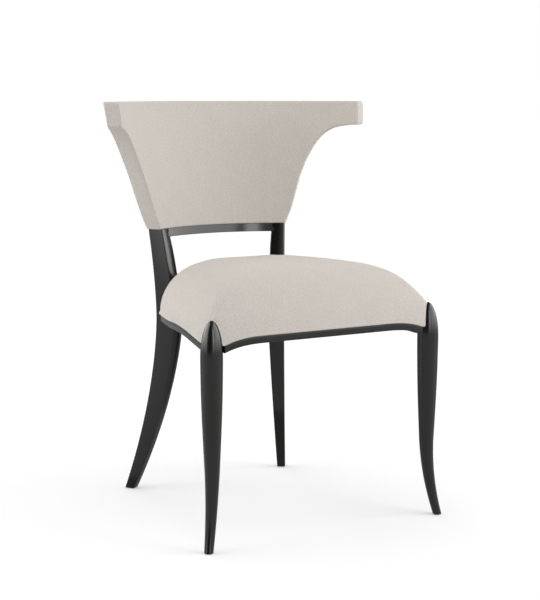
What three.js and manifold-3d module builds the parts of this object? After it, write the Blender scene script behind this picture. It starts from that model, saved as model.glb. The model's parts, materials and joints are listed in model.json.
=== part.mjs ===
// A klismos dining chair. Two round front legs end in bullet tops, two sabre rear legs run on up as stiles,
// a slim show-wood frame carries a crowned tight seat, and a bent, winged back is upholstered all round.
// Units are millimetres. +Z is up, +Y points to the chair's back, and +X is on the right seen from the front.
import * as THREE from 'three';
import { mergeVertices } from 'three/addons/utils/BufferGeometryUtils.js';
import Module from 'manifold-3d';

const wasm = await Module();
wasm.setup();

// Clearances shared by all pieces
const fitGap = 0.3;
const layerGap = 0.7;
const cutOverrun = 6;

// Front legs
const legCornerInset = 10.1;
const legDiameter = 41.7;
const legFootDiameter = 17.3;
const legFullHeight = 350;
const legShoulderHeight = 358;
const bulletLength = 68;
const bulletPower = 0.55;
const bulletEndShare = 0.994;
const legSweep = 17.2;
const legSweepHeight = 158;
const footArris = 0.8;
const legSides = 24;
const legRings = 14;
const bulletRings = 8;
const legSwellShares = [[0, 0], [0.16, 0.147], [0.3, 0.3], [0.43, 0.46], [0.565, 0.643], [0.7, 0.807],
  [0.84, 0.93], [1, 1]];

// Rear legs, each a sabre piece cut from a plank that stands in a plane turned by legTurn
const rearLegX = 155.6;
const rearLegY = 409.7;
const legTurn = THREE.MathUtils.degToRad(32.4);
const rearWaistHeight = 375;
const rearWaistBack = -2.9;
const rearBackSweep = 82.4;
const rearBackPower = 1.71;
const stileRake = 16.8;
const stileRakePower = 1.65;
const rearFrontWaistHeight = 386;
const rearWaistFront = -48;
const rearFrontSweep = 106.6;
const rearFrontPower = 1.75;
const stileFrontRake = 28.9;
const stileFrontPower = 1.2;
const rearFootWidth = 17.6;
const rearKneeWidth = 33;
const rearKneeHeight = 325;
const stileWidth = 27.4;
const rearArris = 2.2;
const rearRings = 14;
const stileRings = 6;
const arrisSteps = 2;

// Glides under the four feet
const glideHeight = 2.2;
const glideDiameter = 13;
const glideChamfer = 0.7;
const glideNailDiameter = 2.4;
const glideNailLength = 14;
const glideSides = 16;

// Seat frame
const railFace = -12.7;
const railThickness = 24;
const railBottom = 378.3;
const railTop = 412;
const stripHeight = 13.8;
const railRebate = 8;
const railChamfer = 9;
const railArris = 1.4;
const archDrop = 12.2;
const archRun = 85;
const archPower = 2.6;
const sideArchRun = 150;
const sideArchPower = 1.3;
const rearArchDrop = 7.5;
const rearArchLanding = 60;
const rearArchRun = 250;
const seatFrontHalf = 250;
const seatRearHalf = 163;
const sideRailRun = 366;
const sideBow = 6;
const rearCornerRadius = 28;
const seatRearEdge = 416;
const seatRearCornerX = 122;
const archSteps = 5;
const sideSteps = 12;
const cornerSteps = 5;

// Tenons of the seat frame and the cross rail
const tenonThickness = 9;
const tenonBottom = 381;
const tenonTop = 396;
const tenonDepth = 14;
const tenonRoot = 6;
const tenonShoulder = 0.5;
const sideTenonReach = 34;
const crossTenonHeight = 11;

// Corner blocks and their screws
const blockBottom = 386;
const blockTop = 411;
const blockLeg = 58;
const rearBlockRun = 40;
const rearBlockSide = 46;
const screwHeadDiameter = 7.6;
const screwHeadHeight = 2.4;
const screwDiameter = 4;
const screwPoint = 4;
const screwSides = 8;
const screwAccess = 26;
const blockScrewLength = 30;
const blockScrewReach = 38;
const rearScrewReach = 24;
const blockScrewBed = 13;

// Seat suspension and upholstery
const strapWidth = 50;
const strapThickness = 1.2;
const strapWave = 1.4;
const strapPitchX = 74;
const strapPitchY = 88;
const strapCentreY = 196;
const strapLanding = 17;
const strapSteps = 14;
const strapsEachSide = 1;
const hessianThickness = 0.8;
const hessianMargin = 21;
const dustThickness = 0.8;
const seatCrown = 505.7;
const seatCentreY = 185;
const seatCrownPower = 4.6;
const seatShoulderPower = 0.743;
const seatBulge = 5;
const seatBulgeHeightShare = 0.2;
const seatCloth = 2;
const seatRingShares = [0.12, 0.4, 0.62, 0.76, 0.86, 0.93, 0.97, 0.99, 1];
const liningRingShares = [0.12, 0.5, 0.76, 0.9, 0.97, 1];
const liningLiftShare = 0.5;
const clothEase = 0.5;

// Back: a bent shell whose level sections are arcs that widen and move back as they rise
const backBottom = 555.2;
const backTop = 813;
const backBendRadius = 293.6;
const stileSetIn = 2.1;
const stileCover = 1.9;
const backFlare = THREE.MathUtils.degToRad(4.9);
const backLean = THREE.MathUtils.degToRad(10.4);
const wingAngle = THREE.MathUtils.degToRad(71.6);
const backThickness = 35;
const wingTipThickness = 28.5;
const wingThinShare = 0.68;
const wingSkewShare = 0.27;
const wingCornerRadius = 6;
const wingCornerSteps = 3;
const backCloth = 1.6;
const rearWadding = 2;
const frameDepth = 12;
const panelThickness = 4;
const backEdgeSamples = 14;
const backMiddleColumns = 14;
const backPadRows = 4;
const backCrown = 2.5;
const backEdgeShares = [[0, 0], [0.073, 0.112], [0.123, 0.212], [0.233, 0.431], [0.354, 0.595],
  [0.479, 0.713], [0.637, 0.784], [0.838, 0.81], [1, 0.813]];
const borderTopSteps = 24;

// Back frame inside the upholstery
const stileTongueWidth = 20;
const tongueSetback = 5;
const crestHeight = 38;
const crestMargin = 2.6;
const crestSteps = 32;
const crossRailHeight = 17;
const crossRailUpper = 42;
const crossRailSteps = 16;
const crossRailArris = 1.6;
const crossRailRelief = 0.6;
const wingBlockRiseShare = 0.104;
const wingBlockRows = 10;
const wingBlockColumns = 8;
const dowelDiameter = 8;
const dowelLength = 40;
const dowelSides = 12;
const panelScrewLength = 13;
const panelScrewRiseShares = { lower: 0.27, upper: 0.7 };

// Values that follow from the sizes above
const legX = seatFrontHalf - legCornerInset;
const footLevel = glideHeight + fitGap;
const stripTop = railBottom + stripHeight;
const strapLevel = railTop + fitGap + strapThickness / 2 + strapWave;
const hessianLevel = strapLevel + strapWave + strapThickness / 2 + fitGap;
const foamLevel = hessianLevel + hessianThickness + fitGap;
const waddingDepth = backCloth + layerGap;
const frameLayer = waddingDepth + rearWadding + layerGap;
const panelLayer = frameLayer + frameDepth + layerGap;
const foamLayer = panelLayer + panelThickness + layerGap;
const frameInnerRadius = backBendRadius - frameLayer - frameDepth;
const plankAlong = new THREE.Vector2(Math.sin(legTurn), Math.cos(legTurn));
const plankAcross = new THREE.Vector2(-Math.cos(legTurn), Math.sin(legTurn));
const seatCentre = new THREE.Vector2(0, seatCentreY);
const backHeight = backTop - backBottom;

// The back's bend passes just outside the stiles' outer corners, and its lower corners sit just past them.
const stileCorner = plankPoint(rearLegBack(backBottom), 0);
const backBendY = stileCorner.y - Math.sqrt((backBendRadius - stileSetIn) ** 2 - stileCorner.x ** 2);
const stileCornerAngle = Math.atan2(stileCorner.x, stileCorner.y - backBendY);
const backCornerArc = stileCornerAngle * backBendRadius + stileCover;
const wingArc = wingAngle * backBendRadius;

// Colours
const ebonised = { color: 0x2b2a29, roughness: 0.3, metalness: 0 };
const cloth = { color: 0xcfc9c1, roughness: 0.92, metalness: 0 };
const beech = { color: 0xb98f5f, roughness: 0.65, metalness: 0 };
const plywood = { color: 0xc9a877, roughness: 0.7, metalness: 0 };
const foamLook = { color: 0xe6dfc2, roughness: 0.95, metalness: 0 };
const waddingLook = { color: 0xf0efea, roughness: 1, metalness: 0 };
const jute = { color: 0xa48a5c, roughness: 0.95, metalness: 0 };
const cambric = { color: 0x1d1d1f, roughness: 0.95, metalness: 0 };
const steel = { color: 0x9a9a9c, roughness: 0.35, metalness: 1 };
const nylon = { color: 0x3a3a3c, roughness: 0.5, metalness: 0 };

// Reads a table of [place, value] pairs as one smooth curve.
function readCurve(table, place) {
  let at = table.findIndex((pair, index) => index > 0 && place <= pair[0]) - 1;
  if (at < 0) at = place <= table[0][0] ? 0 : table.length - 2;
  const [x0, y0] = table[at];
  const [x1, y1] = table[at + 1];
  const slope = (y1 - y0) / (x1 - x0);
  const tangent = (index) => {
    if (index <= 0 || index >= table.length - 1) return slope;
    return (table[index + 1][1] - table[index - 1][1]) / (table[index + 1][0] - table[index - 1][0]);
  };
  const t = THREE.MathUtils.clamp((place - x0) / (x1 - x0), 0, 1);
  const start = tangent(at) * (x1 - x0);
  const end = tangent(at + 1) * (x1 - x0);
  const values = y0 * (1 + 2 * t) * (1 - t) ** 2 + y1 * t * t * (3 - 2 * t);
  return values + start * t * (1 - t) ** 2 - end * t * t * (1 - t);
}

// Turns a closed geometry into a solid that can be joined and cut.
function solidOf(geometry) {
  const bare = geometry.clone();
  bare.deleteAttribute('normal');
  bare.deleteAttribute('uv');
  const merged = mergeVertices(bare);
  const mesh = new wasm.Mesh({
    numProp: 3,
    vertProperties: new Float32Array(merged.attributes.position.array),
    triVerts: new Uint32Array(merged.index.array),
  });
  return new wasm.Manifold(mesh);
}

// Turns a solid back into a geometry, mirrored across the chair's middle plane when asked.
function geometryOf(solid, mirrored = false) {
  const mesh = solid.getMesh();
  const positions = Float32Array.from(mesh.vertProperties);
  const indices = Array.from(mesh.triVerts);
  if (mirrored) {
    for (let i = 0; i < positions.length; i += 3) positions[i] = -positions[i];
    for (let i = 0; i < indices.length; i += 3) [indices[i], indices[i + 1]] = [indices[i + 1], indices[i]];
  }
  const geometry = new THREE.BufferGeometry();
  geometry.setAttribute('position', new THREE.BufferAttribute(positions, 3));
  geometry.setIndex(indices);
  geometry.computeVertexNormals();
  return geometry;
}

function mirror(solid) {
  return solidOf(geometryOf(solid, true));
}

// Six times the volume that a list of triangles encloses, negative when its faces point in.
function signedVolume(points, indices) {
  let total = 0;
  for (let i = 0; i < indices.length; i += 3) {
    const [a, b, c] = [points[indices[i]], points[indices[i + 1]], points[indices[i + 2]]];
    total += a.dot(new THREE.Vector3().crossVectors(b, c));
  }
  return total;
}

// Triangles that close one flat ring, as places in that ring.
function capOf(ring) {
  const normal = new THREE.Vector3();
  ring.forEach((point, index) => (
    normal.add(new THREE.Vector3().crossVectors(point, ring[(index + 1) % ring.length]))));
  normal.normalize();
  const guide = Math.abs(normal.z) < 1 / 2 ? new THREE.Vector3(0, 0, 1) : new THREE.Vector3(1, 0, 0);
  const across = new THREE.Vector3().crossVectors(guide, normal).normalize();
  const along = new THREE.Vector3().crossVectors(normal, across);
  const flat = ring.map((point) => new THREE.Vector2(point.dot(across), point.dot(along)));
  return THREE.ShapeUtils.triangulateShape(flat, []);
}

// Skins a row of rings that all have as many points, and closes both ends.
function loft(rings) {
  const count = rings[0].length;
  const points = rings.flat();
  const indices = [];
  for (let i = 0; i + 1 < rings.length; i += 1) {
    for (let j = 0; j < count; j += 1) {
      const a = i * count + j;
      const b = i * count + (j + 1) % count;
      indices.push(a, b, b + count, a, b + count, a + count);
    }
  }
  const last = (rings.length - 1) * count;
  capOf(rings[0]).forEach(([a, b, c]) => indices.push(a, c, b));
  capOf(rings[rings.length - 1]).forEach(([a, b, c]) => indices.push(last + a, last + b, last + c));
  if (signedVolume(points, indices) < 0) indices.reverse();
  const geometry = new THREE.BufferGeometry();
  const values = points.flatMap((p) => [p.x, p.y, p.z]);
  geometry.setAttribute('position', new THREE.Float32BufferAttribute(values, 3));
  geometry.setIndex(indices);
  return solidOf(geometry);
}

// A block with its length along a level direction.
function beam(length, thickness, bottom, top, centre, direction) {
  const geometry = new THREE.BoxGeometry(length, thickness, top - bottom);
  geometry.rotateZ(Math.atan2(direction.y, direction.x));
  geometry.translate(centre.x, centre.y, (top + bottom) / 2);
  return solidOf(geometry);
}

// A plate with a level outline.
function prism(outline, bottom, top) {
  const shape = new THREE.Shape(outline);
  const geometry = new THREE.ExtrudeGeometry(shape, { depth: top - bottom, bevelEnabled: false });
  geometry.translate(0, 0, bottom);
  return solidOf(geometry);
}

// A turned piece whose profile is given as [radius, height], set at a point with its axis along a direction.
function turned(profile, sides, point, direction) {
  const geometry = new THREE.LatheGeometry(profile.map(([r, h]) => new THREE.Vector2(r, h)), sides);
  const upright = new THREE.Vector3(0, 1, 0);
  const turn = new THREE.Quaternion().setFromUnitVectors(upright, direction.clone().normalize());
  geometry.applyQuaternion(turn);
  geometry.translate(point.x, point.y, point.z);
  return solidOf(geometry);
}

// Cuts a list of tools out of a solid.
function cut(solid, tools) {
  return tools.reduce((rest, tool) => rest.subtract(tool), solid);
}

// Front leg

function frontLegRadius(z) {
  const swell = readCurve(legSwellShares, Math.min(z / legFullHeight, 1));
  return (legFootDiameter + (legDiameter - legFootDiameter) * swell) / 2;
}

function frontLegOffset(z) {
  return legSweep * (1 - Math.min(z / legSweepHeight, 1)) ** 2;
}

function frontLegRing(z, radius) {
  const offset = frontLegOffset(z);
  return Array.from({ length: legSides }, (unused, k) => {
    const angle = (2 * Math.PI * k) / legSides;
    return new THREE.Vector3(legX + offset + radius * Math.cos(angle), radius * Math.sin(angle) - offset, z);
  });
}

function bulletRadius(rise) {
  return (legDiameter / 2) * (1 - rise ** 2) ** bulletPower;
}

function frontLegBody(grow) {
  const rings = [frontLegRing(footLevel - grow, frontLegRadius(footLevel) - footArris + grow)];
  for (let i = 0; i <= legRings; i += 1) {
    const z = THREE.MathUtils.lerp(footLevel + footArris, legShoulderHeight, i / legRings);
    rings.push(frontLegRing(z, frontLegRadius(z) + grow));
  }
  for (let i = 1; i <= bulletRings; i += 1) {
    const rise = bulletEndShare * Math.sin((Math.PI * i) / 2 / bulletRings);
    const z = legShoulderHeight + (bulletLength + grow) * rise;
    rings.push(frontLegRing(z, bulletRadius(rise) + grow));
  }
  return loft(rings);
}

// Rear leg and stile

function plankPoint(along, across) {
  const corner = new THREE.Vector2(rearLegX, rearLegY);
  return corner.addScaledVector(plankAlong, along).addScaledVector(plankAcross, across);
}

function rearLegBack(z) {
  if (z < rearWaistHeight) return rearWaistBack + rearBackSweep * (1 - z / rearWaistHeight) ** rearBackPower;
  const rise = (z - rearWaistHeight) / (backBottom - rearWaistHeight);
  return rearWaistBack + stileRake * rise ** stileRakePower;
}

function rearLegFront(z) {
  if (z < rearFrontWaistHeight) {
    return rearWaistFront + rearFrontSweep * (1 - z / rearFrontWaistHeight) ** rearFrontPower;
  }
  const rise = (z - rearFrontWaistHeight) / (backBottom - rearFrontWaistHeight);
  return rearWaistFront + stileFrontRake * rise ** stileFrontPower;
}

function rearLegWidth(z) {
  if (z < rearKneeHeight) return THREE.MathUtils.lerp(rearFootWidth, rearKneeWidth, z / rearKneeHeight);
  const rise = (z - rearKneeHeight) / (backBottom - rearKneeHeight);
  return THREE.MathUtils.lerp(rearKneeWidth, stileWidth, THREE.MathUtils.smoothstep(rise, 0, 1));
}

// A four-sided level section with eased corners, between two places along and two across its directions.
function easedRing(origin, along, across, spans, z, arris) {
  const [back, front, outer, inner] = spans;
  const corners = [[back, outer, -1, 1], [back, inner, -1, -1], [front, inner, 1, -1], [front, outer, 1, 1]];
  return corners.flatMap(([s, t, ds, dt], corner) => Array.from({ length: arrisSteps + 1 }, (unused, k) => {
    const angle = (Math.PI / 2) * (k / arrisSteps);
    const turn = corner % 2 === 0 ? angle : Math.PI / 2 - angle;
    const place = origin.clone();
    place.addScaledVector(along, s + ds * arris * (1 - Math.sin(turn)));
    place.addScaledVector(across, t + dt * arris * (1 - Math.cos(turn)));
    return new THREE.Vector3(place.x, place.y, z);
  }));
}

function rearLegRing(z, grow) {
  const spans = [rearLegBack(z) + grow, rearLegFront(z) - grow, -grow, rearLegWidth(z) + grow];
  return easedRing(plankPoint(0, 0), plankAlong, plankAcross, spans, z, rearArris);
}

function tongueAngle() {
  return stileCornerAngle - (tongueSetback + stileTongueWidth / 2) / backBendRadius;
}

function tongueRing(z) {
  const angle = tongueAngle();
  const along = new THREE.Vector2(Math.sin(angle), Math.cos(angle));
  const across = new THREE.Vector2(-Math.cos(angle), Math.sin(angle));
  const outside = bendRadius(z) - frameLayer;
  const spans = [outside, outside - frameDepth, -stileTongueWidth / 2, stileTongueWidth / 2];
  return easedRing(new THREE.Vector2(0, bendCentre(z)), along, across, spans, z, footArris);
}

function rearLegRings(top, grow) {
  const rings = [];
  for (let i = 0; i <= rearRings; i += 1) {
    rings.push(rearLegRing(THREE.MathUtils.lerp(footLevel, rearWaistHeight, i / rearRings), grow));
  }
  for (let i = 1; i <= stileRings; i += 1) {
    rings.push(rearLegRing(THREE.MathUtils.lerp(rearWaistHeight, top, i / stileRings), grow));
  }
  return rings;
}

function rearLegBody() {
  const shoulder = backBottom - fitGap;
  return loft([...rearLegRings(shoulder, 0), tongueRing(shoulder), tongueRing(crestBottom() - fitGap)]);
}

// The same leg up to its shoulder, a little fatter, for cutting its neighbours.
function rearLegTool(grow) {
  return loft(rearLegRings(backBottom - fitGap, grow));
}

// Seat frame

// How far the bottom of a rail drops at a distance from its end.
function archAt(distance, drop, run, power) {
  return drop * (1 - THREE.MathUtils.clamp(distance / run, 0, 1)) ** power;
}

// The side rail stays low over its landing at the rear leg and then rises slowly.
function rearDropAt(distance) {
  return rearArchDrop * (1 - THREE.MathUtils.smoothstep(distance, rearArchLanding, rearArchRun));
}

// The places along the outside of the seat frame, from the front middle to the rear middle, as {x, y, drop}.
function frontPlaces() {
  const legSide = legX - legDiameter / 2;
  const places = [{ x: 0, y: railFace, drop: 0 }];
  for (let i = 0; i <= archSteps; i += 1) {
    const x = legSide - archRun * (1 - i / archSteps);
    places.push({ x, y: railFace, drop: archAt(legSide - x, archDrop, archRun, archPower) });
  }
  places.push({ x: legX, y: railFace, drop: archDrop });
  return places;
}

function sidePlaces() {
  const start = new THREE.Vector2(seatFrontHalf, railFace);
  const end = new THREE.Vector2(seatRearHalf, sideRailRun);
  const run = end.clone().sub(start);
  const length = run.length();
  const outward = new THREE.Vector2(run.y, -run.x).divideScalar(length);
  const legEnd = legDiameter / 2 - railFace;
  return Array.from({ length: sideSteps + 1 }, (unused, i) => {
    const t = i / sideSteps;
    const point = start.clone().addScaledVector(run, t).addScaledVector(outward, 4 * sideBow * t * (1 - t));
    const frontDrop = archAt(t * length - legEnd, archDrop, sideArchRun, sideArchPower);
    return { x: point.x, y: point.y, drop: frontDrop + rearDropAt((1 - t) * length) };
  });
}

function cornerPlaces() {
  const lead = Math.atan2(seatFrontHalf - seatRearHalf, sideRailRun - railFace);
  const length = Math.hypot(seatFrontHalf - seatRearHalf, sideRailRun - railFace);
  const first = lead + Math.atan((4 * sideBow) / length);
  const centreX = seatRearHalf - rearCornerRadius * Math.cos(first);
  const centreY = sideRailRun - rearCornerRadius * Math.sin(first);
  return Array.from({ length: cornerSteps }, (unused, i) => {
    const angle = THREE.MathUtils.lerp(first, Math.PI / 2, (i + 1) / cornerSteps);
    const outward = new THREE.Vector2(Math.cos(angle), Math.sin(angle));
    const x = centreX + rearCornerRadius * outward.x;
    return { x, y: centreY + rearCornerRadius * outward.y, drop: rearArchDrop, inward: outward.negate() };
  });
}

function rearPlaces() {
  const legSide = plankPoint(rearLegBack(rearWaistHeight), rearLegWidth(rearWaistHeight)).x;
  const places = [{ x: seatRearCornerX, y: seatRearEdge, drop: rearArchDrop }];
  for (let i = archSteps; i >= 0; i -= 1) {
    const x = (legSide - archRun) + (seatRearCornerX - legSide + archRun) * (i / (archSteps + 1));
    places.push({ x, y: seatRearEdge, drop: archAt(legSide - x, rearArchDrop, archRun, archPower) });
  }
  return places;
}

// Level direction to the inside of the frame at each place, from the places beside it.
function inwardAt(places, index) {
  if (places[index].inward) return places[index].inward;
  const before = places[Math.max(index - 1, 0)];
  const after = places[Math.min(index + 1, places.length - 1)];
  return new THREE.Vector2(before.y - after.y, after.x - before.x).normalize();
}

// A rail's section: a show strip at the bottom, then a rebate for the cloth and a bevelled top edge.
function railRing(place, inward, grow) {
  const bottom = railBottom - place.drop - grow;
  const ledge = stripTop - place.drop + grow;
  const outline = [[railArris - grow, bottom], [-grow, bottom + railArris], [-grow, ledge],
    [railRebate - grow, ledge], [railRebate - grow, railTop - railChamfer + grow],
    [railRebate + railChamfer - grow, railTop + grow], [railThickness + grow, railTop + grow],
    [railThickness + grow, bottom]];
  return outline.map(([depth, z]) => (
    new THREE.Vector3(place.x + inward.x * depth, place.y + inward.y * depth, z)));
}

function railAlong(places, grow) {
  return loft(places.map((place, index) => railRing(place, inwardAt(places, index), grow)));
}

function mirroredPlaces(places) {
  return places.map((place) => ({ ...place, x: -place.x })).reverse();
}

function frontRailBar(grow) {
  const half = frontPlaces();
  return railAlong([...mirroredPlaces(half.slice(1)), ...half], grow);
}

function sideRailBar(grow) {
  return railAlong([...sidePlaces(), ...cornerPlaces()], grow);
}

function rearRailBar(grow) {
  const half = rearPlaces();
  return railAlong([...half, ...mirroredPlaces(half)], grow);
}

// The room that the front rail takes between its two faces, for cutting the side rails where they butt on it.
function frontBand() {
  const depth = railThickness * 2 + fitGap;
  const centre = new THREE.Vector2(0, railFace - railThickness + depth / 2);
  const bottom = railBottom - archDrop - cutOverrun;
  return beam(2 * seatFrontHalf, depth, bottom, railTop + cutOverrun, centre, new THREE.Vector2(1, 0));
}

// Tenons, each a beam from inside its rail into its leg; grown, the same beam cuts the mortise.
// A tenon: a bar along a level direction, between two heights.
function tenonBar(low, high, centre, direction, grow) {
  const length = tenonDepth + tenonRoot + 2 * grow;
  return beam(length, tenonThickness + 2 * grow, low - grow, high + grow, centre, direction);
}

function frontTenon(grow) {
  const inLeg = legX - legDiameter / 2;
  const y = railFace + railRebate + tenonShoulder + tenonThickness / 2;
  const centre = new THREE.Vector2(inLeg + (tenonDepth - tenonRoot) / 2, y);
  return tenonBar(tenonBottom, tenonTop, centre, new THREE.Vector2(1, 0), grow);
}

function sideTenon(grow) {
  const inLeg = legDiameter / 2;
  const face = linearAt(sidePlaces().map(({ x, y }) => [y, x]), inLeg);
  const x = face - railRebate - tenonShoulder - tenonThickness / 2;
  const centre = new THREE.Vector2(x, inLeg - (tenonDepth - tenonRoot) / 2);
  return tenonBar(tenonBottom, tenonTop, centre, new THREE.Vector2(0, 1), grow);
}

function sideRearTenon(grow) {
  const centre = plankPoint(-sideTenonReach, (tenonDepth - tenonRoot) / 2);
  const low = railBottom - rearArchDrop + railArris;
  const high = stripTop - rearArchDrop - railArris;
  return tenonBar(low, high, centre, plankAcross, grow);
}

function rearTenon(grow) {
  const y = seatRearEdge - railThickness / 2;
  const z = (tenonBottom + tenonTop) / 2;
  const face = plankPoint(rearLegBack(z), rearLegWidth(z));
  const x = face.x - (face.y - y) * (plankAlong.x / plankAlong.y);
  const centre = new THREE.Vector2(x + (tenonDepth - tenonRoot) / 2, y);
  return tenonBar(tenonBottom, tenonTop, centre, new THREE.Vector2(1, 0), grow);
}

// Screws and dowels

// Grown, a screw's tool also opens the way that its head goes in by.
function screw(length, point, direction, grow) {
  const head = screwHeadDiameter / 2 + grow;
  const shank = screwDiameter / 2 + grow;
  const start = grow > 0 ? -screwAccess : 0;
  const profile = [[0, start], [head, start], [head, fitGap], [shank, screwHeadHeight],
    [shank, length - screwPoint], [0, length + grow]];
  return turned(profile, screwSides, point, direction);
}

function blockScrewPlaces() {
  const z = (blockBottom + blockTop) / 2;
  const innerY = railFace + railThickness;
  const side = sidePlaces();
  const sideAt = (y) => {
    const index = side.findIndex((place) => place.y >= y);
    const inward = inwardAt(side, index);
    return { point: new THREE.Vector3(side[index].x, side[index].y, z), inward };
  };
  const front = sideAt(innerY + blockScrewReach);
  const rear = sideAt(sideRailRun - rearScrewReach);
  const bed = railThickness + blockScrewBed;
  const towards = ({ point, inward }) => ({
    point: point.clone().add(new THREE.Vector3(inward.x * bed, inward.y * bed, 0)),
    direction: new THREE.Vector3(-inward.x, -inward.y, 0),
  });
  const rearInnerY = seatRearEdge - railThickness;
  return {
    front_a: { point: new THREE.Vector3(legX - legDiameter / 2 - blockScrewReach, innerY + blockScrewBed, z),
      direction: new THREE.Vector3(0, -1, 0) },
    front_b: towards(front),
    rear_a: { point: new THREE.Vector3(rearBlockInnerX() - rearScrewReach / 2, rearInnerY - blockScrewBed, z),
      direction: new THREE.Vector3(0, 1, 0) },
    rear_b: towards(rear),
  };
}

// Corner blocks

function rearBlockInnerX() {
  const z = blockTop;
  return plankPoint(rearLegFront(z), rearLegWidth(z)).x;
}

function frontBlock(screws) {
  const x = legX - legDiameter / 2;
  const y = railFace + railThickness + fitGap;
  const outline = [[x, y], [x, y + blockLeg], [x - blockLeg, y]].map(([px, py]) => new THREE.Vector2(px, py));
  const tools = [frontRailBar(fitGap), sideRailBar(fitGap), frontLegBody(fitGap), ...screws];
  return cut(prism(outline, blockBottom, blockTop), tools);
}

function rearBlock(screws) {
  const y = seatRearEdge - railThickness - fitGap;
  const waist = rearWaistFront - fitGap;
  const legInner = plankPoint(waist, rearKneeWidth);
  const legOuter = plankPoint(waist, 0);
  const side = sidePlaces();
  const foremost = side.find((place) => place.y >= sideRailRun - rearBlockSide);
  const inRail = railThickness - railArris;
  const outline = [new THREE.Vector2(legInner.x - rearBlockRun, y), new THREE.Vector2(legInner.x, y),
    legInner, legOuter, new THREE.Vector2(seatRearHalf - inRail, legOuter.y),
    new THREE.Vector2(foremost.x - inRail, foremost.y)];
  const tools = [rearRailBar(fitGap), sideRailBar(fitGap), rearLegTool(fitGap), ...screws];
  return cut(prism(outline, blockBottom, blockTop), tools);
}

// Seat suspension

function strap(half, place, steps) {
  const rings = Array.from({ length: steps + 1 }, (unused, i) => {
    const t = THREE.MathUtils.lerp(-half, half, i / steps);
    return place(t, half);
  });
  return loft(rings);
}

// A woven strap passes over and under the ones that cross it, and both its ends rest on the rails.
function weave(t, half, pitch, sign) {
  const fade = THREE.MathUtils.smoothstep(half - Math.abs(t), 0, strapLanding * 2);
  return THREE.MathUtils.lerp(-strapWave, sign * strapWave * Math.cos((Math.PI * t) / pitch), fade);
}

function crossStrap(row) {
  const y = strapCentreY + row * strapPitchY;
  const side = sidePlaces();
  const edge = side.find((place) => place.y >= y + strapWidth / 2);
  const half = edge.x - strapLanding;
  const sign = row % 2 === 0 ? 1 : -1;
  return strap(half, (t) => {
    const z = strapLevel + weave(t, half, strapPitchX, sign);
    return [[-1, -1], [1, -1], [1, 1], [-1, 1]].map(([a, b]) => new THREE.Vector3(t, y + (a * strapWidth) / 2,
      z + (b * strapThickness) / 2));
  }, strapSteps);
}

function lengthStrap(column) {
  const x = column * strapPitchX;
  const near = railFace + strapLanding;
  const far = seatRearEdge - strapLanding;
  const half = (far - near) / 2;
  const middle = (far + near) / 2;
  const sign = column % 2 === 0 ? -1 : 1;
  return strap(half, (t) => {
    const wave = weave(t, half, strapPitchY, sign);
    const shifted = sign * strapWave * Math.cos((Math.PI * (t + middle - strapCentreY)) / strapPitchY);
    const fade = THREE.MathUtils.smoothstep(half - Math.abs(t), 0, strapLanding * 2);
    const z = strapLevel + THREE.MathUtils.lerp(wave, shifted, fade);
    return [[-1, -1], [1, -1], [1, 1], [-1, 1]].map(([a, b]) => new THREE.Vector3(x + (a * strapWidth) / 2,
      middle + t, z + (b * strapThickness) / 2));
  }, strapSteps);
}

// Seat upholstery

function seatRim() {
  const half = [...frontPlaces().slice(1, -1), ...sidePlaces(), ...cornerPlaces(), ...rearPlaces()];
  const mirrored = half.map((place) => ({ ...place, x: -place.x })).reverse();
  return [...half, ...mirrored];
}

// The seat's outline, drawn in towards its centre by a distance, as one level loop.
function seatLoop(inset) {
  return seatRim().map((place) => {
    const spoke = new THREE.Vector2(place.x, place.y).sub(seatCentre);
    return spoke.setLength(spoke.length() - inset).add(seatCentre);
  });
}

// One ring of the seat's surface, at a share of the way from the crown to the rim, drawn in by a depth.
function seatRing(share, depth) {
  return seatRim().map((place) => {
    const edge = stripTop - place.drop + fitGap + depth * liningLiftShare;
    const spoke = new THREE.Vector2(place.x, place.y).sub(seatCentre);
    const reach = spoke.length();
    const rise = (1 - share ** seatCrownPower) ** seatShoulderPower;
    const swell = (rise / seatBulgeHeightShare) * Math.exp(1 - rise / seatBulgeHeightShare);
    const flank = Math.max(0, place.y / sideRailRun);
    const out = share * (reach - depth) + seatBulge * swell * flank * (1 - flank) * 4;
    spoke.multiplyScalar(Math.min(out, reach + seatBulge) / reach).add(seatCentre);
    const z = edge + (seatCrown - depth - edge) * rise;
    return new THREE.Vector3(spoke.x, spoke.y, z);
  });
}

function legTools(grow) {
  const front = frontLegBody(grow);
  const rear = rearLegTool(grow);
  return [front, mirror(front), rear, mirror(rear)];
}

function seatCoverSolid() {
  const inside = liningRingShares.map((share) => seatRing(share, seatCloth));
  const outside = seatRingShares.map((share) => seatRing(share, 0)).reverse();
  return cut(loft([...inside, ...outside]), legTools(clothEase));
}

function seatFoamSolid() {
  const rings = liningRingShares.map((share) => seatRing(share, seatCloth + clothEase));
  const room = new THREE.BoxGeometry(seatFrontHalf * 4, seatRearEdge * 3, seatCrown);
  room.translate(0, seatCentreY, foamLevel + seatCrown / 2);
  return cut(loft(rings).intersect(solidOf(room)), legTools(clothEase));
}

// Back

function bendRadius(z) {
  return backBendRadius + (z - backBottom) * Math.tan(backFlare);
}

function bendCentre(z) {
  return backBendY + (z - backBottom) * Math.tan(backLean);
}

// How far round a wing's edge runs for each millimetre of depth: it is square to the bend at the stiles, and
// skewed beyond them, because the wings are cut nearer to the stiles' direction.
function wingSkew(angle) {
  const past = (Math.abs(angle) - stileCornerAngle) / (wingAngle - stileCornerAngle);
  return Math.sign(angle) * wingSkewShare * (1 - (1 - THREE.MathUtils.clamp(past, 0, 1)) ** 3);
}

// A point at an angle and height, at a depth inwards from the back's outer surface.
function onBack(angle, z, depth) {
  const radius = bendRadius(z) - depth;
  const turn = angle + (wingSkew(angle) * depth) / radius;
  return new THREE.Vector3(radius * Math.sin(turn), bendCentre(z) + radius * Math.cos(turn), z);
}

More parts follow.
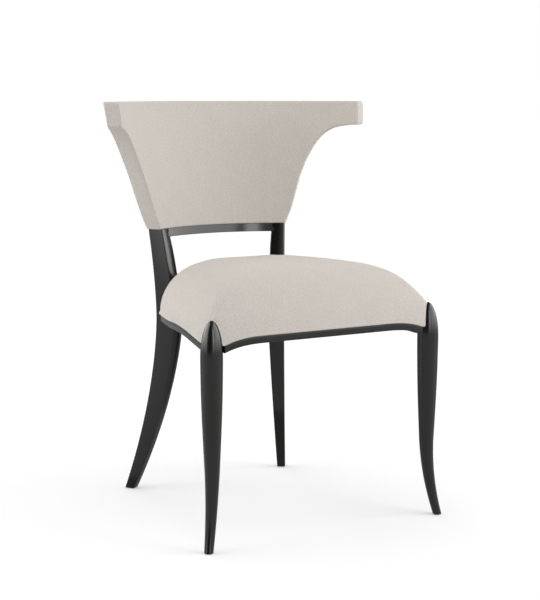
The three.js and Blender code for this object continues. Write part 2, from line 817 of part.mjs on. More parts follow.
function thicknessAt(angle) {
  const thin = THREE.MathUtils.smoothstep(Math.abs(angle) / wingAngle, wingThinShare, 1);
  return THREE.MathUtils.lerp(backThickness, wingTipThickness, thin);
}

// The edge of the right wing laid flat, from the bottom corner to the rounded tip, drawn in by an inset.
// Each place has the height of the lower edge and, straight above it, of the top edge.
function wingEdge(inset) {
  const points = backEdgeShares.map(([a, h]) => (
    new THREE.Vector2(THREE.MathUtils.lerp(backCornerArc, wingArc, a), h * backHeight)));
  const curve = new THREE.SplineCurve(points);
  const arcStart = wingArc - wingCornerRadius;
  const samples = Array.from({ length: backEdgeSamples + 1 }, (unused, i) => {
    const place = curve.getPointAt(i / backEdgeSamples);
    const tangent = curve.getTangentAt(i / backEdgeSamples);
    const up = Math.max(place.y + tangent.x * inset, inset);
    return { place, across: place.x - tangent.y * inset, up, fall: 0 };
  });
  const lower = samples.filter(({ place }) => place.x < arcStart - wingCornerRadius);
  const tipUp = samples[backEdgeSamples].up;
  const radius = wingCornerRadius - inset;
  const arc = Array.from({ length: wingCornerSteps + 1 }, (unused, k) => {
    const turn = (Math.PI / 2) * (k / wingCornerSteps);
    const fall = radius * (1 - Math.cos(turn));
    return { across: arcStart + radius * Math.sin(turn), up: tipUp + fall, fall };
  });
  return [...lower, ...arc].map(({ across, up, fall }) => (
    { angle: across / backBendRadius, z: backBottom + up, top: backTop - inset - fall }));
}

// Upright lines across the back, each from its lower edge to the top, for a plate drawn in by an inset.
function backColumns(inset) {
  const edge = wingEdge(inset);
  const corner = edge[0].angle;
  const right = Array.from({ length: backMiddleColumns / 2 }, (unused, i) => (
    { angle: (corner * i) / (backMiddleColumns / 2), z: backBottom + inset, top: backTop - inset }));
  const half = [...right, ...edge];
  const left = half.slice(1).map(({ angle, z, top }) => ({ angle: -angle, z, top })).reverse();
  return [...left, ...half].map(({ angle, z, top }) => ({ angle, low: z, high: top }));
}

// A plate bent to the back, between two depths that may change with the angle.
function backPlate(inset, outerDepth, innerDepth, rows) {
  const rings = backColumns(inset).map(({ angle, low, high }) => {
    const side = Array.from({ length: rows + 1 }, (unused, i) => (
      { z: THREE.MathUtils.lerp(low, high, i / rows), share: i / rows }));
    const outside = side.map(({ z, share }) => onBack(angle, z, outerDepth(angle, share)));
    const inside = side.map(({ z, share }) => onBack(angle, z, innerDepth(angle, share))).reverse();
    return [...outside, ...inside];
  });
  return loft(rings);
}

// The depth of the padded face: full at the border, and a little more over the middle of the back.
function paddedDepth(angle, share) {
  const across = 1 - (angle / wingAngle) ** 2;
  return thicknessAt(angle) + backCrown * Math.sin(Math.PI * share) * across;
}

// The boxed border: one strip of cloth from a bottom corner round a wing, along the top and down again.
function backBorderSolid() {
  const outer = wingEdge(0);
  const inner = wingEdge(backCloth);
  const climb = outer.map((place, i) => ({ outer: place, inner: inner[i] }));
  const corner = climb.slice(-wingCornerSteps - 1).reverse();
  const atTop = (place) => ({ ...place, z: place.top });
  const bend = corner.map((pair) => ({ outer: atTop(pair.outer), inner: atTop(pair.inner) }));
  const start = bend[wingCornerSteps];
  const over = Array.from({ length: borderTopSteps - 1 }, (unused, i) => {
    const angle = start.outer.angle * (1 - (2 * (i + 1)) / borderTopSteps);
    return { outer: { angle, z: backTop }, inner: { angle, z: backTop - backCloth } };
  });
  const flip = ({ angle, z }) => ({ angle: -angle, z });
  const rise = [...climb, ...bend];
  const fall = rise.map((pair) => ({ outer: flip(pair.outer), inner: flip(pair.inner) })).reverse();
  return loft([...rise, ...over, ...fall].map(({ outer: a, inner: b }) => {
    const deep = thicknessAt(a.angle);
    const corners = [[a, 0], [a, deep], [b, deep], [b, 0]];
    return corners.map(([place, depth]) => onBack(place.angle, place.z, depth));
  }));
}

// Frame of the back

function crestBottom() {
  return backTop - backCloth - crestMargin - crestHeight;
}

function crestRailSolid(dowels) {
  const low = crestBottom();
  const high = low + crestHeight;
  const end = wingAngle - (backCloth + crestMargin) / backBendRadius;
  const rings = Array.from({ length: crestSteps + 1 }, (unused, i) => {
    const angle = THREE.MathUtils.lerp(-end, end, i / crestSteps);
    return [onBack(angle, low, frameLayer), onBack(angle, high, frameLayer),
      onBack(angle, high, frameLayer + frameDepth), onBack(angle, low, frameLayer + frameDepth)];
  });
  return cut(loft(rings), dowels);
}

// The exposed cross rail, with a thinner upper part that the cloth covers.
function crossRailRing(angle) {
  const low = backBottom - fitGap - crossRailHeight;
  const ledge = backBottom - fitGap;
  const high = ledge + crossRailUpper;
  const arris = crossRailArris;
  const near = backThickness - crossRailRelief;
  const outline = [[crossRailRelief + arris, low], [crossRailRelief, low + arris], [crossRailRelief, ledge],
    [frameLayer, ledge], [frameLayer, high], [frameLayer + frameDepth, high],
    [frameLayer + frameDepth, ledge], [near, ledge], [near, low + arris], [near - arris, low]];
  return outline.map(([depth, z]) => onBack(angle, z, depth));
}

function crossTenon(grow) {
  const middle = backBottom - fitGap - crossRailHeight / 2;
  const depth = (rearLegBack(middle) + rearLegFront(middle)) / 2;
  const centre = plankPoint(depth, rearLegWidth(middle) - (tenonDepth - tenonRoot) / 2);
  const half = crossTenonHeight / 2;
  return tenonBar(middle - half, middle + half, centre, plankAcross, grow);
}

function crossRailSolid() {
  const stile = rearLegTool(fitGap);
  const tongue = loft([tongueRing(backBottom - cutOverrun), tongueRing(crestBottom())]);
  const end = tongueAngle() - (stileTongueWidth / 2 + fitGap) / frameInnerRadius;
  const wide = end + cutOverrun / backBendRadius;
  const rings = Array.from({ length: crossRailSteps + 1 }, (unused, i) => (
    crossRailRing(THREE.MathUtils.lerp(-wide, wide, i / crossRailSteps))));
  const tools = [stile, mirror(stile)];
  const upper = new THREE.BoxGeometry(stileWidth, frameDepth * 4, crossRailUpper + cutOverrun);
  const aside = end + stileWidth / 2 / backBendRadius;
  const side = onBack(aside, backBottom + crossRailUpper / 2, frameLayer + frameDepth / 2);
  upper.rotateZ(-end);
  upper.translate(side.x, side.y, backBottom - fitGap + (crossRailUpper + cutOverrun) / 2);
  const relief = solidOf(upper);
  tools.push(relief, mirror(relief), tongue, mirror(tongue));
  const tenon = crossTenon(0);
  return cut(loft(rings), tools).add(tenon).add(mirror(tenon));
}

// A wing block fills the corner between a stile, the crest rail and the edge of the wing.
function wingBlockSolid() {
  const inset = backCloth + crestMargin;
  const top = crestBottom() - fitGap;
  const bottom = backBottom + wingBlockRiseShare * backHeight;
  const edge = wingEdge(inset);
  const inner = tongueAngle() + (stileTongueWidth / 2 + layerGap) / frameInnerRadius;
  const table = edge.map(({ angle, z }) => [z, angle]).filter(([z]) => z < top);
  const rings = Array.from({ length: wingBlockRows + 1 }, (unused, i) => {
    const z = THREE.MathUtils.lerp(bottom, top, Math.sin((Math.PI / 2) * (i / wingBlockRows)));
    const outer = linearAt(table, z);
    const angles = Array.from({ length: wingBlockColumns + 1 }, (none, k) => (
      THREE.MathUtils.lerp(inner, outer, k / wingBlockColumns)));
    return [...angles.map((angle) => onBack(angle, z, frameLayer)),
      ...angles.map((angle) => onBack(angle, z, frameLayer + frameDepth)).reverse()];
  });
  return loft(rings);
}

function linearAt(table, place) {
  const next = Math.max(1, table.findIndex(([x]) => x >= place));
  const at = place > table[table.length - 1][0] ? table.length - 1 : next;
  const [x0, y0] = table[at - 1];
  const [x1, y1] = table[at];
  return y0 + (y1 - y0) * Math.min((place - x0) / (x1 - x0), 1);
}

function crestDowel(grow) {
  const angle = tongueAngle();
  const depth = frameLayer + frameDepth / 2;
  const low = onBack(angle, crestBottom() - dowelLength / 2, depth);
  const high = onBack(angle, crestBottom() + dowelLength / 2, depth);
  const axis = high.clone().sub(low);
  const length = axis.length();
  const radius = dowelDiameter / 2 + grow;
  const profile = [[0, -grow], [radius, -grow], [radius, length + grow], [0, length + grow]];
  return turned(profile, dowelSides, low, axis);
}

function panelScrew(z, grow) {
  const angle = tongueAngle();
  const direction = new THREE.Vector3(Math.sin(angle), Math.cos(angle), 0);
  return screw(panelScrewLength, onBack(angle, z, panelLayer + panelThickness), direction, grow);
}

// Glides

function glide(centre, grow) {
  const radius = glideDiameter / 2;
  const nail = glideNailDiameter / 2 + grow;
  const profile = [[0, 0], [radius - glideChamfer, 0], [radius, glideChamfer], [radius, glideHeight],
    [nail, glideHeight], [nail, glideHeight + glideNailLength - glideNailDiameter],
    [0, glideHeight + glideNailLength + grow]];
  return turned(profile, glideSides, new THREE.Vector3(centre.x, centre.y, 0), new THREE.Vector3(0, 0, 1));
}

function frontGlide(grow) {
  const offset = frontLegOffset(footLevel);
  return glide(new THREE.Vector2(legX + offset, -offset), grow);
}

function rearGlide(grow) {
  const along = (rearLegBack(footLevel) + rearLegFront(footLevel)) / 2;
  return glide(plankPoint(along, rearLegWidth(footLevel) / 2), grow);
}

// The chair, piece by piece

const chair = new THREE.Group();

function addPiece(name, solid, look, mirrored = false) {
  const mesh = new THREE.Mesh(geometryOf(solid, mirrored), new THREE.MeshStandardMaterial(look));
  mesh.name = name;
  chair.add(mesh);
}

// A piece with a twin on the other side of the chair.
function addPair(name, solid, look) {
  addPiece(`${name}_right`, solid, look);
  addPiece(`${name}_left`, solid, look, true);
}

const screwPlaces = blockScrewPlaces();
const blockScrews = (grow) => Object.fromEntries(Object.entries(screwPlaces).map(([name, place]) => (
  [name, screw(blockScrewLength, place.point, place.direction, grow)])));
const holes = blockScrews(fitGap);
const panelHeights = Object.fromEntries(Object.entries(panelScrewRiseShares).map(([name, share]) => (
  [name, backBottom + share * backHeight])));
const panelHoles = Object.values(panelHeights).map((z) => panelScrew(z, fitGap));

const frontLegTools = [frontTenon(fitGap), sideTenon(fitGap), frontGlide(fitGap)];
addPair('front_leg', cut(frontLegBody(0), frontLegTools), ebonised);
addPair('rear_leg', cut(rearLegBody(), [sideRearTenon(fitGap), rearTenon(fitGap), crossTenon(fitGap),
  rearGlide(fitGap), crestDowel(fitGap), ...panelHoles]), ebonised);
addPair('front_glide', frontGlide(0), nylon);
addPair('rear_glide', rearGlide(0), nylon);

const frontLegCut = frontLegBody(fitGap);
const rearLegCut = rearLegTool(fitGap);
const bothOf = (solid) => [solid, mirror(solid)];
const frontRail = cut(frontRailBar(0), [frontLegCut, sideTenon(fitGap), holes.front_a].flatMap(bothOf));
const sideRail = cut(sideRailBar(0), [frontLegCut, rearLegCut, frontBand(), holes.front_b, holes.rear_b]);
const rearRail = cut(rearRailBar(0), [rearLegCut, holes.rear_a].flatMap(bothOf));
addPiece('seat_rail_front', frontRail.add(frontTenon(0)).add(mirror(frontTenon(0))), ebonised);
addPair('seat_rail_side', sideRail.add(sideTenon(0)).add(sideRearTenon(0)), ebonised);
addPiece('seat_rail_rear', rearRail.add(rearTenon(0)).add(mirror(rearTenon(0))), ebonised);

addPair('corner_block_front', frontBlock([holes.front_a, holes.front_b]), beech);
addPair('corner_block_rear', rearBlock([holes.rear_a, holes.rear_b]), beech);
Object.entries(blockScrews(0)).forEach(([name, solid]) => addPair(`block_screw_${name}`, solid, steel));

for (let row = -strapsEachSide; row <= strapsEachSide; row += 1) {
  addPiece(`seat_strap_across_${row + strapsEachSide + 1}`, crossStrap(row), jute);
  addPiece(`seat_strap_along_${row + strapsEachSide + 1}`, lengthStrap(row), jute);
}
addPiece('seat_hessian', cut(prism(seatLoop(hessianMargin), hessianLevel, hessianLevel + hessianThickness),
  legTools(clothEase)), jute);
addPiece('seat_foam', seatFoamSolid(), foamLook);
addPiece('seat_cover', seatCoverSolid(), cloth);
const frameBars = [frontRailBar(fitGap), ...bothOf(sideRailBar(fitGap)), rearRailBar(fitGap)];
const dustTop = blockBottom - fitGap;
const dustSheet = prism(seatLoop(railThickness / 2), dustTop - dustThickness, dustTop);
addPiece('seat_dust_cover', cut(dustSheet, [...frameBars, ...legTools(clothEase)]), cambric);

addPiece('back_cross_rail', crossRailSolid(), ebonised);
addPiece('back_crest_rail', crestRailSolid(bothOf(crestDowel(fitGap))), beech);
addPair('crest_dowel', crestDowel(0), beech);
addPair('back_wing_block', wingBlockSolid(), plywood);
Object.entries(panelHeights).forEach(([name, z]) => addPair(`panel_screw_${name}`, panelScrew(z, 0), steel));

const panelInset = backCloth + clothEase;
const liningDepth = (angle, share) => paddedDepth(angle, share) - backCloth;
addPiece('back_wadding', backPlate(panelInset, () => waddingDepth, () => waddingDepth + rearWadding, 1),
  waddingLook);
addPiece('back_panel', cut(backPlate(panelInset, () => panelLayer, () => panelLayer + panelThickness, 1),
  panelHoles.flatMap(bothOf)), plywood);
const foamDepth = (angle, share) => liningDepth(angle, share) - layerGap;
addPiece('back_foam', backPlate(panelInset, () => foamLayer, foamDepth, backPadRows), foamLook);
addPiece('back_outside_cover', backPlate(panelInset, () => 0, () => backCloth, 1), cloth);
addPiece('back_inside_cover', backPlate(panelInset, liningDepth, paddedDepth, backPadRows), cloth);
addPiece('back_border', backBorderSolid(), cloth);

// The origin goes on the floor, under the middle of the chair.
const extent = new THREE.Box3().setFromObject(chair);
chair.position.y = -(extent.min.y + extent.max.y) / 2;

export default chair;
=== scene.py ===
# The looks of a klismos dining chair: fine meshes and finishes round its solids, with floor, light and camera
# Shapes are in millimetres in the chair's own construction frame, whose y = 0 is the front legs' axis
import functools
import json
import math

import bpy
import numpy as np
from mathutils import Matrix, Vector, noise

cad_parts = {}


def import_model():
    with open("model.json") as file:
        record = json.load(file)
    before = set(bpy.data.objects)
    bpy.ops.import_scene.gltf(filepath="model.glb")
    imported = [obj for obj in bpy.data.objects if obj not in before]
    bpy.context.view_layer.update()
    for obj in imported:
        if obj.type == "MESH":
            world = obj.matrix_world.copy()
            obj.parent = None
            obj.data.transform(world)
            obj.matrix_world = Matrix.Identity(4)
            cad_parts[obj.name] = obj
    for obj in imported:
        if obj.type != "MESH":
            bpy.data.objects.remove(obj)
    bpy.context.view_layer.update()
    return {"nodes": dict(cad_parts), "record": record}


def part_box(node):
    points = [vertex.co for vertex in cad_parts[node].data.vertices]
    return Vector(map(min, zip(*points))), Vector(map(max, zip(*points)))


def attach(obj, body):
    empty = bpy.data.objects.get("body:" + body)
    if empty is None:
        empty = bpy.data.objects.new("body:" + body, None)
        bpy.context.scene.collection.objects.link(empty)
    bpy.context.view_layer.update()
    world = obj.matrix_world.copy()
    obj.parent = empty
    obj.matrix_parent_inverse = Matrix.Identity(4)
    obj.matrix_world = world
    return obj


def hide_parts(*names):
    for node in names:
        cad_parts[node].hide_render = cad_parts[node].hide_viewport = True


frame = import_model()
MM = 0.001

# Clearances, and the least step beside a corner
FIT_GAP = 0.3
CLOTH_EASE = 0.5
CORNER_STEP = 1

# Front legs
LEG_X = 239.9
LEG_DIAMETER = 41.7
LEG_FOOT_DIAMETER = 17.3
LEG_FULL_HEIGHT = 350
LEG_SHOULDER = 358
BULLET_LENGTH = 68
BULLET_POWER = 0.55
BULLET_CLOSE = 0.9995
LEG_SWEEP = 17.2
LEG_SWEEP_HEIGHT = 158
LEG_SWELL_SHARES = [(0, 0), (0.16, 0.147), (0.3, 0.3), (0.43, 0.46), (0.565, 0.643), (0.7, 0.807),
                    (0.84, 0.93), (1, 1)]
FOOT_LEVEL = 1.2
FOOT_ARRIS = 0.6

# Rear legs
REAR_LEG = (155.6, 409.7)
LEG_TURN = math.radians(32.4)
WAIST_BACK = -2.9
WAIST_BACK_HEIGHT = 375
BACK_SWEEP = 82.4
BACK_SWEEP_POWER = 1.71
STILE_RAKE = 16.8
STILE_RAKE_POWER = 1.65
WAIST_FRONT = -48
WAIST_FRONT_HEIGHT = 386
FRONT_SWEEP = 106.6
FRONT_SWEEP_POWER = 1.75
STILE_FRONT_RAKE = 28.9
STILE_FRONT_POWER = 1.2
REAR_FOOT_WIDTH = 17.6
KNEE_WIDTH = 33
KNEE_HEIGHT = 325
STILE_WIDTH = 27.4
STILE_SWELL = 2.2
STILE_SWELL_FOOT = 415
STILE_SWELL_CREST = 500
REAR_ARRIS = 2.2
STILE_STEP = 5

# Seat frame
RAIL_FACE = -12.7
RAIL_THICKNESS = 24
RAIL_BOTTOM = 378.3
RAIL_TOP = 412
STRIP_HEIGHT = 13.8
RAIL_REBATE = 8
RAIL_CHAMFER = 9
RAIL_ARRIS = 1.4
LEDGE_ARRIS = 0.5
INNER_ARRIS = 1
ARCH_DROP = 12.2
ARCH_RUN = 85
ARCH_POWER = 2.6
SIDE_ARCH_DROP = 14.6
SIDE_ARCH_RUN = 212
SIDE_ARCH_POWER = 1.3
REAR_ARCH_DROP = 7.5
REAR_ARCH_LANDING = 60
REAR_ARCH_RUN = 250
SEAT_FRONT_HALF = 250
SEAT_REAR_HALF = 163
SIDE_RAIL_RUN = 366
SIDE_BOW = 6
REAR_CORNER_RADIUS = 28
SEAT_REAR_EDGE = 416
SEAT_REAR_CORNER_X = 122
RAIL_EMBED = 8

# Seat upholstery
SEAT_CENTRE_Y = 185
OUTLINE_STEP = 1.5
SPOKE_STEP = 4.2
SEAT_CROWN = 505.7
SEAT_CROWN_POWER = 4.3
SEAT_TILT = 3.5
SEAT_SHOULDER_POWER = 0.6
SEAT_BULGE = 9
SEAT_BULGE_SHARE = 0.6
SEAT_BULGE_SPREAD = 0.525
SEAT_BULGE_RUN = 396
SEAT_CLOTH = 2
SEAT_LIP = 1.4
SEAT_REAR_LIP = 2.4
SEAT_REAR_LIP_SPAN = (200, 340)
SEAT_LIP_HEIGHT = 5
# The folded hem of the seat's cloth: how far in from its edge, and how far up
SEAT_HEM = [(4, 0), (1.1, 0), (0.44, 0.275), (0.1, 0.88)]
SEAT_UNEVEN = 0.5
SEAT_UNEVEN_NOISE = (0.012, 0.02, 3.1)
SEAT_PULL = 0.45
SEAT_PULL_NOISE = (0.09, 0.015, 8.7)
PULL_HEIGHT = 14
UNEVEN_MARGIN = 30
LEG_PARTING_REACH = 0.12
LEG_PARTING_CLOSE = 24
CORNER_SOFTNESS = 0.038
CORNER_SOFT_WIDTH = 0.28
CORNER_SOFT_RISE = (0.1, 0.7)
STILE_CLOTH_HEIGHT = 430
CLOTH_FALL = 0.75
SHEET_EASE = 1
SHEET_SPOKE_STEP = 9
SHEET_SHARES = (0.03, 0.25, 0.5, 0.75, 0.9, 0.97, 1)
DUST_SAG = 5
HESSIAN_MARGIN = 21
FOAM_LEVEL = 417.7
FOAM_SPOKE_STEP = 6
STRAP_THICKNESS = 1.2
STRAP_WAVE = 1.4
STRAP_PITCH_X = 74
STRAP_PITCH_Y = 88
STRAP_CENTRE_Y = 196
STRAP_LANDING = 17
SELVEDGE = 0.4

# Back
BACK_BOTTOM = 555.2
BACK_TOP = 813
BEND_RADIUS = 293.6
BACK_FLARE = math.radians(4.9)
BACK_LEAN = math.radians(10.4)
WING_ANGLE = math.radians(71.6)
BACK_THICKNESS = 35
WING_TIP_THICKNESS = 28.5
WING_THIN_SHARE = 0.68
WING_SKEW_SHARE = 0.27
WING_CORNER_RADIUS = 6
WING_UNDERCUT = 2.2
WING_UNDERCUT_RUN = 34
STILE_SET_IN = 2.1
STILE_COVER = 1.9
BACK_CLOTH = 1.6
INSIDE_CLOTH_SHARE = 0.6
OUTSIDE_CLOTH_SHARE = 0.5
BACK_CROWN = 4.5
BACK_EDGE_SHARES = [(0, 0), (0.073, 0.112), (0.123, 0.212), (0.233, 0.431), (0.354, 0.595), (0.479, 0.713),
                    (0.637, 0.784), (0.838, 0.81), (1, 0.813)]
# Unevenness of the back's cloth: seed, waves per millimetre and size
FACE_UNEVEN = (5.3, 0.014, 0.7)
FACE_PULLS = (9.1, 0.06, 0.35)
FACE_PULL_REACH = 12
FACE_PULL_MARGIN = 4
OUTSIDE_UNEVEN = (1.7, 0.012, 0.4)
SEAM_ROUND = 2.8
SEAM_DROP = 1.6
OUTSIDE_ROUND = 3.5
OUTSIDE_DROP = 1.5
BORDER_BULGE = 0.9
BORDER_WAVE = 0.3
BORDER_WAVE_RATE = 0.03
BORDER_WAVE_SEED = (2.2, 0.4)
SEAM_RADIUS = 0.8
SEAM_INSET = 0.2
STITCH_LENGTH = 5
STITCH_SWELL = 0.08

# Pieces inside the back
LAYER_GAP = 0.7
WADDING = 2
FRAME_DEPTH = 12
PANEL_THICKNESS = 4
TONGUE_WIDTH = 20
TONGUE_SETBACK = 5
CREST_HEIGHT = 38
CREST_MARGIN = 2.6
CROSS_RAIL_HEIGHT = 17
CROSS_RAIL_ARRIS = 1.6
CROSS_RAIL_RELIEF = 0.6
CROSS_RAIL_UPPER = 42

# How tight each padding is, from 0, slack, to 1
CLOTH_FILL = 0.95
FOAM_FILL = 1
WADDING_FILL = 0.5

# Camera of the photograph, which is 540 by 600 pixels
CAMERA_PLACE = (-1477.5, -2345.1, 834.0)
CAMERA_TURN = math.radians(30.10)
CAMERA_DROP = math.radians(7.96)
CAMERA_LENS = 89.48
CAMERA_SENSOR = 36
CAMERA_RANGE_METRES = 60

STRIP_TOP = RAIL_BOTTOM + STRIP_HEIGHT
FRAME_LAYER = BACK_CLOTH + LAYER_GAP + WADDING + LAYER_GAP
ORIGIN_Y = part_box("seat_rail_front")[0].y / MM - RAIL_FACE


def along_of(angle):
    return np.array([math.sin(angle), math.cos(angle)])


def across_of(angle):
    return np.array([-math.cos(angle), math.sin(angle)])


ALONG = along_of(LEG_TURN)
ACROSS = across_of(LEG_TURN)


def lerp(a, b, t):
    return a + (b - a) * t


def smoothstep(x, low, high):
    t = np.clip((x - low) / (high - low), 0, 1)
    return t * t * (3 - 2 * t)


def columns(*values):
    """Coordinates side by side, as one row for each place; a single number holds for them all."""
    return np.column_stack(np.broadcast_arrays(*values))


def in_frame(points):
    """Points of the construction frame, in millimetres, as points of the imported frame, in metres."""
    moved = np.array(points, float)
    moved[..., 1] += ORIGIN_Y
    return moved * MM


def unit(rows):
    return rows / np.linalg.norm(rows, axis=-1, keepdims=True)


def right_of(runs):
    """Level directions to the right of each run."""
    return unit(np.stack([runs[..., 1], -runs[..., 0]], axis=-1))


def distances(points):
    """Distances along a line of points, or along each row of points, from the first one."""
    steps = np.linalg.norm(np.diff(points, axis=-2), axis=-1)
    return np.concatenate([np.zeros_like(steps[..., :1]), np.cumsum(steps, axis=-1)], axis=-1)


def curve_through(table, count, fineness=40):
    """Points at even distances along a smooth curve through a table of points."""
    knots = np.array(table, float)
    padded = np.vstack([2 * knots[0] - knots[1], knots, 2 * knots[-1] - knots[-2]])
    fine = []
    for i in range(1, len(padded) - 2):
        a, b, c, d = padded[i - 1:i + 3]
        t = np.linspace(0, 1, fineness, endpoint=False)[:, None]
        bend = (2 * a - 5 * b + 4 * c - d) * t**2 + (3 * b - a - 3 * c + d) * t**3
        fine.append(0.5 * (2 * b + (c - a) * t + bend))
    fine = np.vstack([*fine, knots[-1:]])
    run = distances(fine)
    places = np.linspace(0, run[-1], count)
    return np.column_stack([np.interp(places, run, fine[:, k]) for k in range(fine.shape[1])])


def eased(outline, steps=4):
    """An outline of (depth, height, radius) corners with its corners rounded."""
    corners = np.array([corner[:2] for corner in outline], float)
    rounded = []
    for i, (_, _, radius) in enumerate(outline):
        here = corners[i]
        if radius == 0:
            rounded.append(here)
            continue
        before = corners[i - 1] - here
        after = corners[(i + 1) % len(corners)] - here
        start = here + unit(before) * radius
        end = here + unit(after) * radius
        for t in np.linspace(0, 1, steps):
            rounded.append((1 - t) ** 2 * start + 2 * t * (1 - t) * here + t * t * end)
    return np.array(rounded)


# Meshes


def placed(name, data):
    """A new object in the scene that shows a mesh, a lamp or a camera."""
    made = bpy.data.objects.new(name, data)
    bpy.context.scene.collection.objects.link(made)
    return made


def plain_mesh(name, points, faces, finish):
    mesh = bpy.data.meshes.new(name)
    mesh.from_pydata(in_frame(points).reshape(-1, 3).tolist(), [], faces)
    mesh.materials.append(finish)
    return mesh


def loft(name, rings, finish, sharp, cuts=None):
    """Skins rings of points into one closed piece that carries the cloth's or grain's own coordinates."""
    rings = np.array(rings)
    cuts = ring_cuts(rings) if cuts is None else np.array(cuts)
    rows, count = rings.shape[:2]
    faces = []
    corners = []
    for i in range(rows - 1):
        for j in range(count):
            here = i * count + j
            beside = i * count + (j + 1) % count
            faces.append((here, beside, beside + count, here + count))
            corners += [cuts[i, j], cuts[i, j + 1], cuts[i + 1, j + 1], cuts[i + 1, j]]
    faces.append(tuple(range(count - 1, -1, -1)))
    corners += [cuts[0, j] for j in range(count - 1, -1, -1)]
    faces.append(tuple(range((rows - 1) * count, rows * count)))
    corners += [cuts[rows - 1, j] for j in range(count)]
    mesh = plain_mesh(name, rings, faces, finish)
    layer = mesh.uv_layers.new(name="cut")
    layer.data.foreach_set("uv", (np.array(corners) * MM).ravel())
    mesh.validate()
    mesh.shade_smooth()
    mesh.set_sharp_from_angle(angle=math.radians(sharp))
    face_outwards(mesh)
    return placed(name, mesh)


def face_outwards(mesh):
    """Turns all faces round if the mesh encloses a negative volume."""
    mesh.calc_loop_triangles()
    points = np.empty(len(mesh.vertices) * 3)
    mesh.vertices.foreach_get("co", points)
    points = points.reshape(-1, 3)
    corners = np.empty(len(mesh.loop_triangles) * 3, int)
    mesh.loop_triangles.foreach_get("vertices", corners)
    a, b, c = (points[corners.reshape(-1, 3)[:, k]] for k in range(3))
    if np.einsum("ij,ij->i", a, np.cross(b, c)).sum() < 0:
        mesh.flip_normals()


def ring_cuts(rings, heights=None):
    """Coordinates for a loft: the distance round each ring, and the distance along the loft."""
    around = distances(np.concatenate([rings, rings[:, :1]], axis=1))
    if heights is None:
        heights = distances(rings.mean(axis=1))
    along = np.repeat(heights[:, None], around.shape[1], axis=1)
    return np.stack([around, along], axis=2)


def mirrored(points):
    return points * np.array([-1, 1, 1])


def slot_of(node):
    return next(part["material_slot"] for part in frame["record"]["subparts"] if part["node"] == node)


def settle(piece):
    """A finished piece rides on the chair's one body."""
    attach(piece, "root")


def build(name, node, rings, sharp=60, cuts=None):
    """The piece that takes a construction node's place and finish."""
    slot = slot_of(node)
    piece = loft(name, rings, FINISHES[slot], sharp, cuts)
    settle(piece)
    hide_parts(node)
    return piece


def both_sides(name, kind, rings, sharp):
    """A pair of legs, given as rings on the right."""
    cuts = ring_cuts(rings, rings[:, 0, 2])
    for side, points in (("right", rings), ("left", mirrored(rings))):
        build(f"{name}_{side}_{kind}", f"{name}_{side}", points, sharp, cuts)


# Finishes


class Nodes:
    """The node tree of a material or a world, built up node by node."""

    def __init__(self, owner):
        self.owner = owner
        self.owner.use_nodes = True
        self.tree = self.owner.node_tree

    def node(self, kind, inputs=None, **settings):
        made = self.tree.nodes.new("ShaderNode" + kind)
        for key, value in settings.items():
            setattr(made, key, value)
        for key, value in (inputs or {}).items():
            self.put(made.inputs[key], value)
        return made

    def put(self, socket, value):
        if isinstance(value, bpy.types.NodeSocket):
            self.tree.links.new(value, socket)
        else:
            socket.default_value = value

    def cut(self):
        return self.node("UVMap", uv_map="cut").outputs[0]

    def place(self):
        return self.node("TexCoord").outputs["Object"]

    def scaled(self, vector, *factors):
        return self.node("Mapping", {"Vector": vector, "Scale": factors}).outputs[0]

    def noise(self, vector, scale, detail=2.0):
        return self.node("TexNoise", {"Vector": vector, "Scale": scale, "Detail": detail}).outputs["Fac"]

    def math(self, operation, a, b=0.0):
        return self.node("Math", {0: a, 1: b}, operation=operation).outputs[0]

    def add(self, a, b):
        return self.math("ADD", a, b)

    def times(self, a, b):
        return self.math("MULTIPLY", a, b)

    def remap(self, value, low, high, new_low, new_high):
        inputs = {"Value": value, "From Min": low, "From Max": high, "To Min": new_low, "To Max": new_high}
        return self.node("MapRange", inputs).outputs[0]

    def mix(self, factor, a, b):
        made = self.node("Mix", data_type="RGBA")
        self.put(made.inputs["Factor"], factor)
        self.put(made.inputs[6], a)
        self.put(made.inputs[7], b)
        return made.outputs[2]

    def blend(self, value, low, high, first, second, most=1):
        """A colour that turns into a second one, wholly or in part, as a value goes from low to high."""
        return self.mix(self.remap(value, low, high, 0, most), first, second)

    def bump(self, height, distance, strength):
        inputs = {"Height": height, "Distance": distance, "Strength": strength}
        return self.node("Bump", inputs).outputs[0]

    def seen(self):
        """1 for what the eye and reflections see, and 0 for the light that falls on things."""
        path = self.node("LightPath").outputs
        seen = self.math("MAXIMUM", path["Is Camera Ray"], path["Is Glossy Ray"])
        return self.math("MAXIMUM", seen, path["Is Transmission Ray"])

    def glow(self, strength):
        return self.node("Emission", {"Color": shade(1, 1, 1), "Strength": strength}).outputs[0]


class Finish(Nodes):
    """One material."""

    def __init__(self, name):
        super().__init__(bpy.data.materials.new(name))

    def set(self, **values):
        for key, value in values.items():
            self.put(self.tree.nodes["Principled BSDF"].inputs[key.replace("_", " ")], value)
        return self.owner

    def show(self, surface):
        self.put(self.tree.nodes["Material Output"].inputs["Surface"], surface)
        return self.owner


def shade(r, g, b):
    return (r, g, b, 1.0)


def plain_weave(f, cut, pitch):
    """The height of a plain weave: threads one pitch apart pass over and under each other."""
    parts = f.node("SeparateXYZ", {0: cut}).outputs
    warp_wave, weft_wave = (f.math("SINE", f.times(parts[axis], math.pi / pitch)) for axis in (0, 1))
    over = f.remap(f.times(warp_wave, weft_wave), -1, 1, 0, 1)
    warp = f.times(f.math("ABSOLUTE", warp_wave), over)
    weft = f.times(f.math("ABSOLUTE", weft_wave), f.math("SUBTRACT", 1.0, over))
    return f.add(warp, weft)


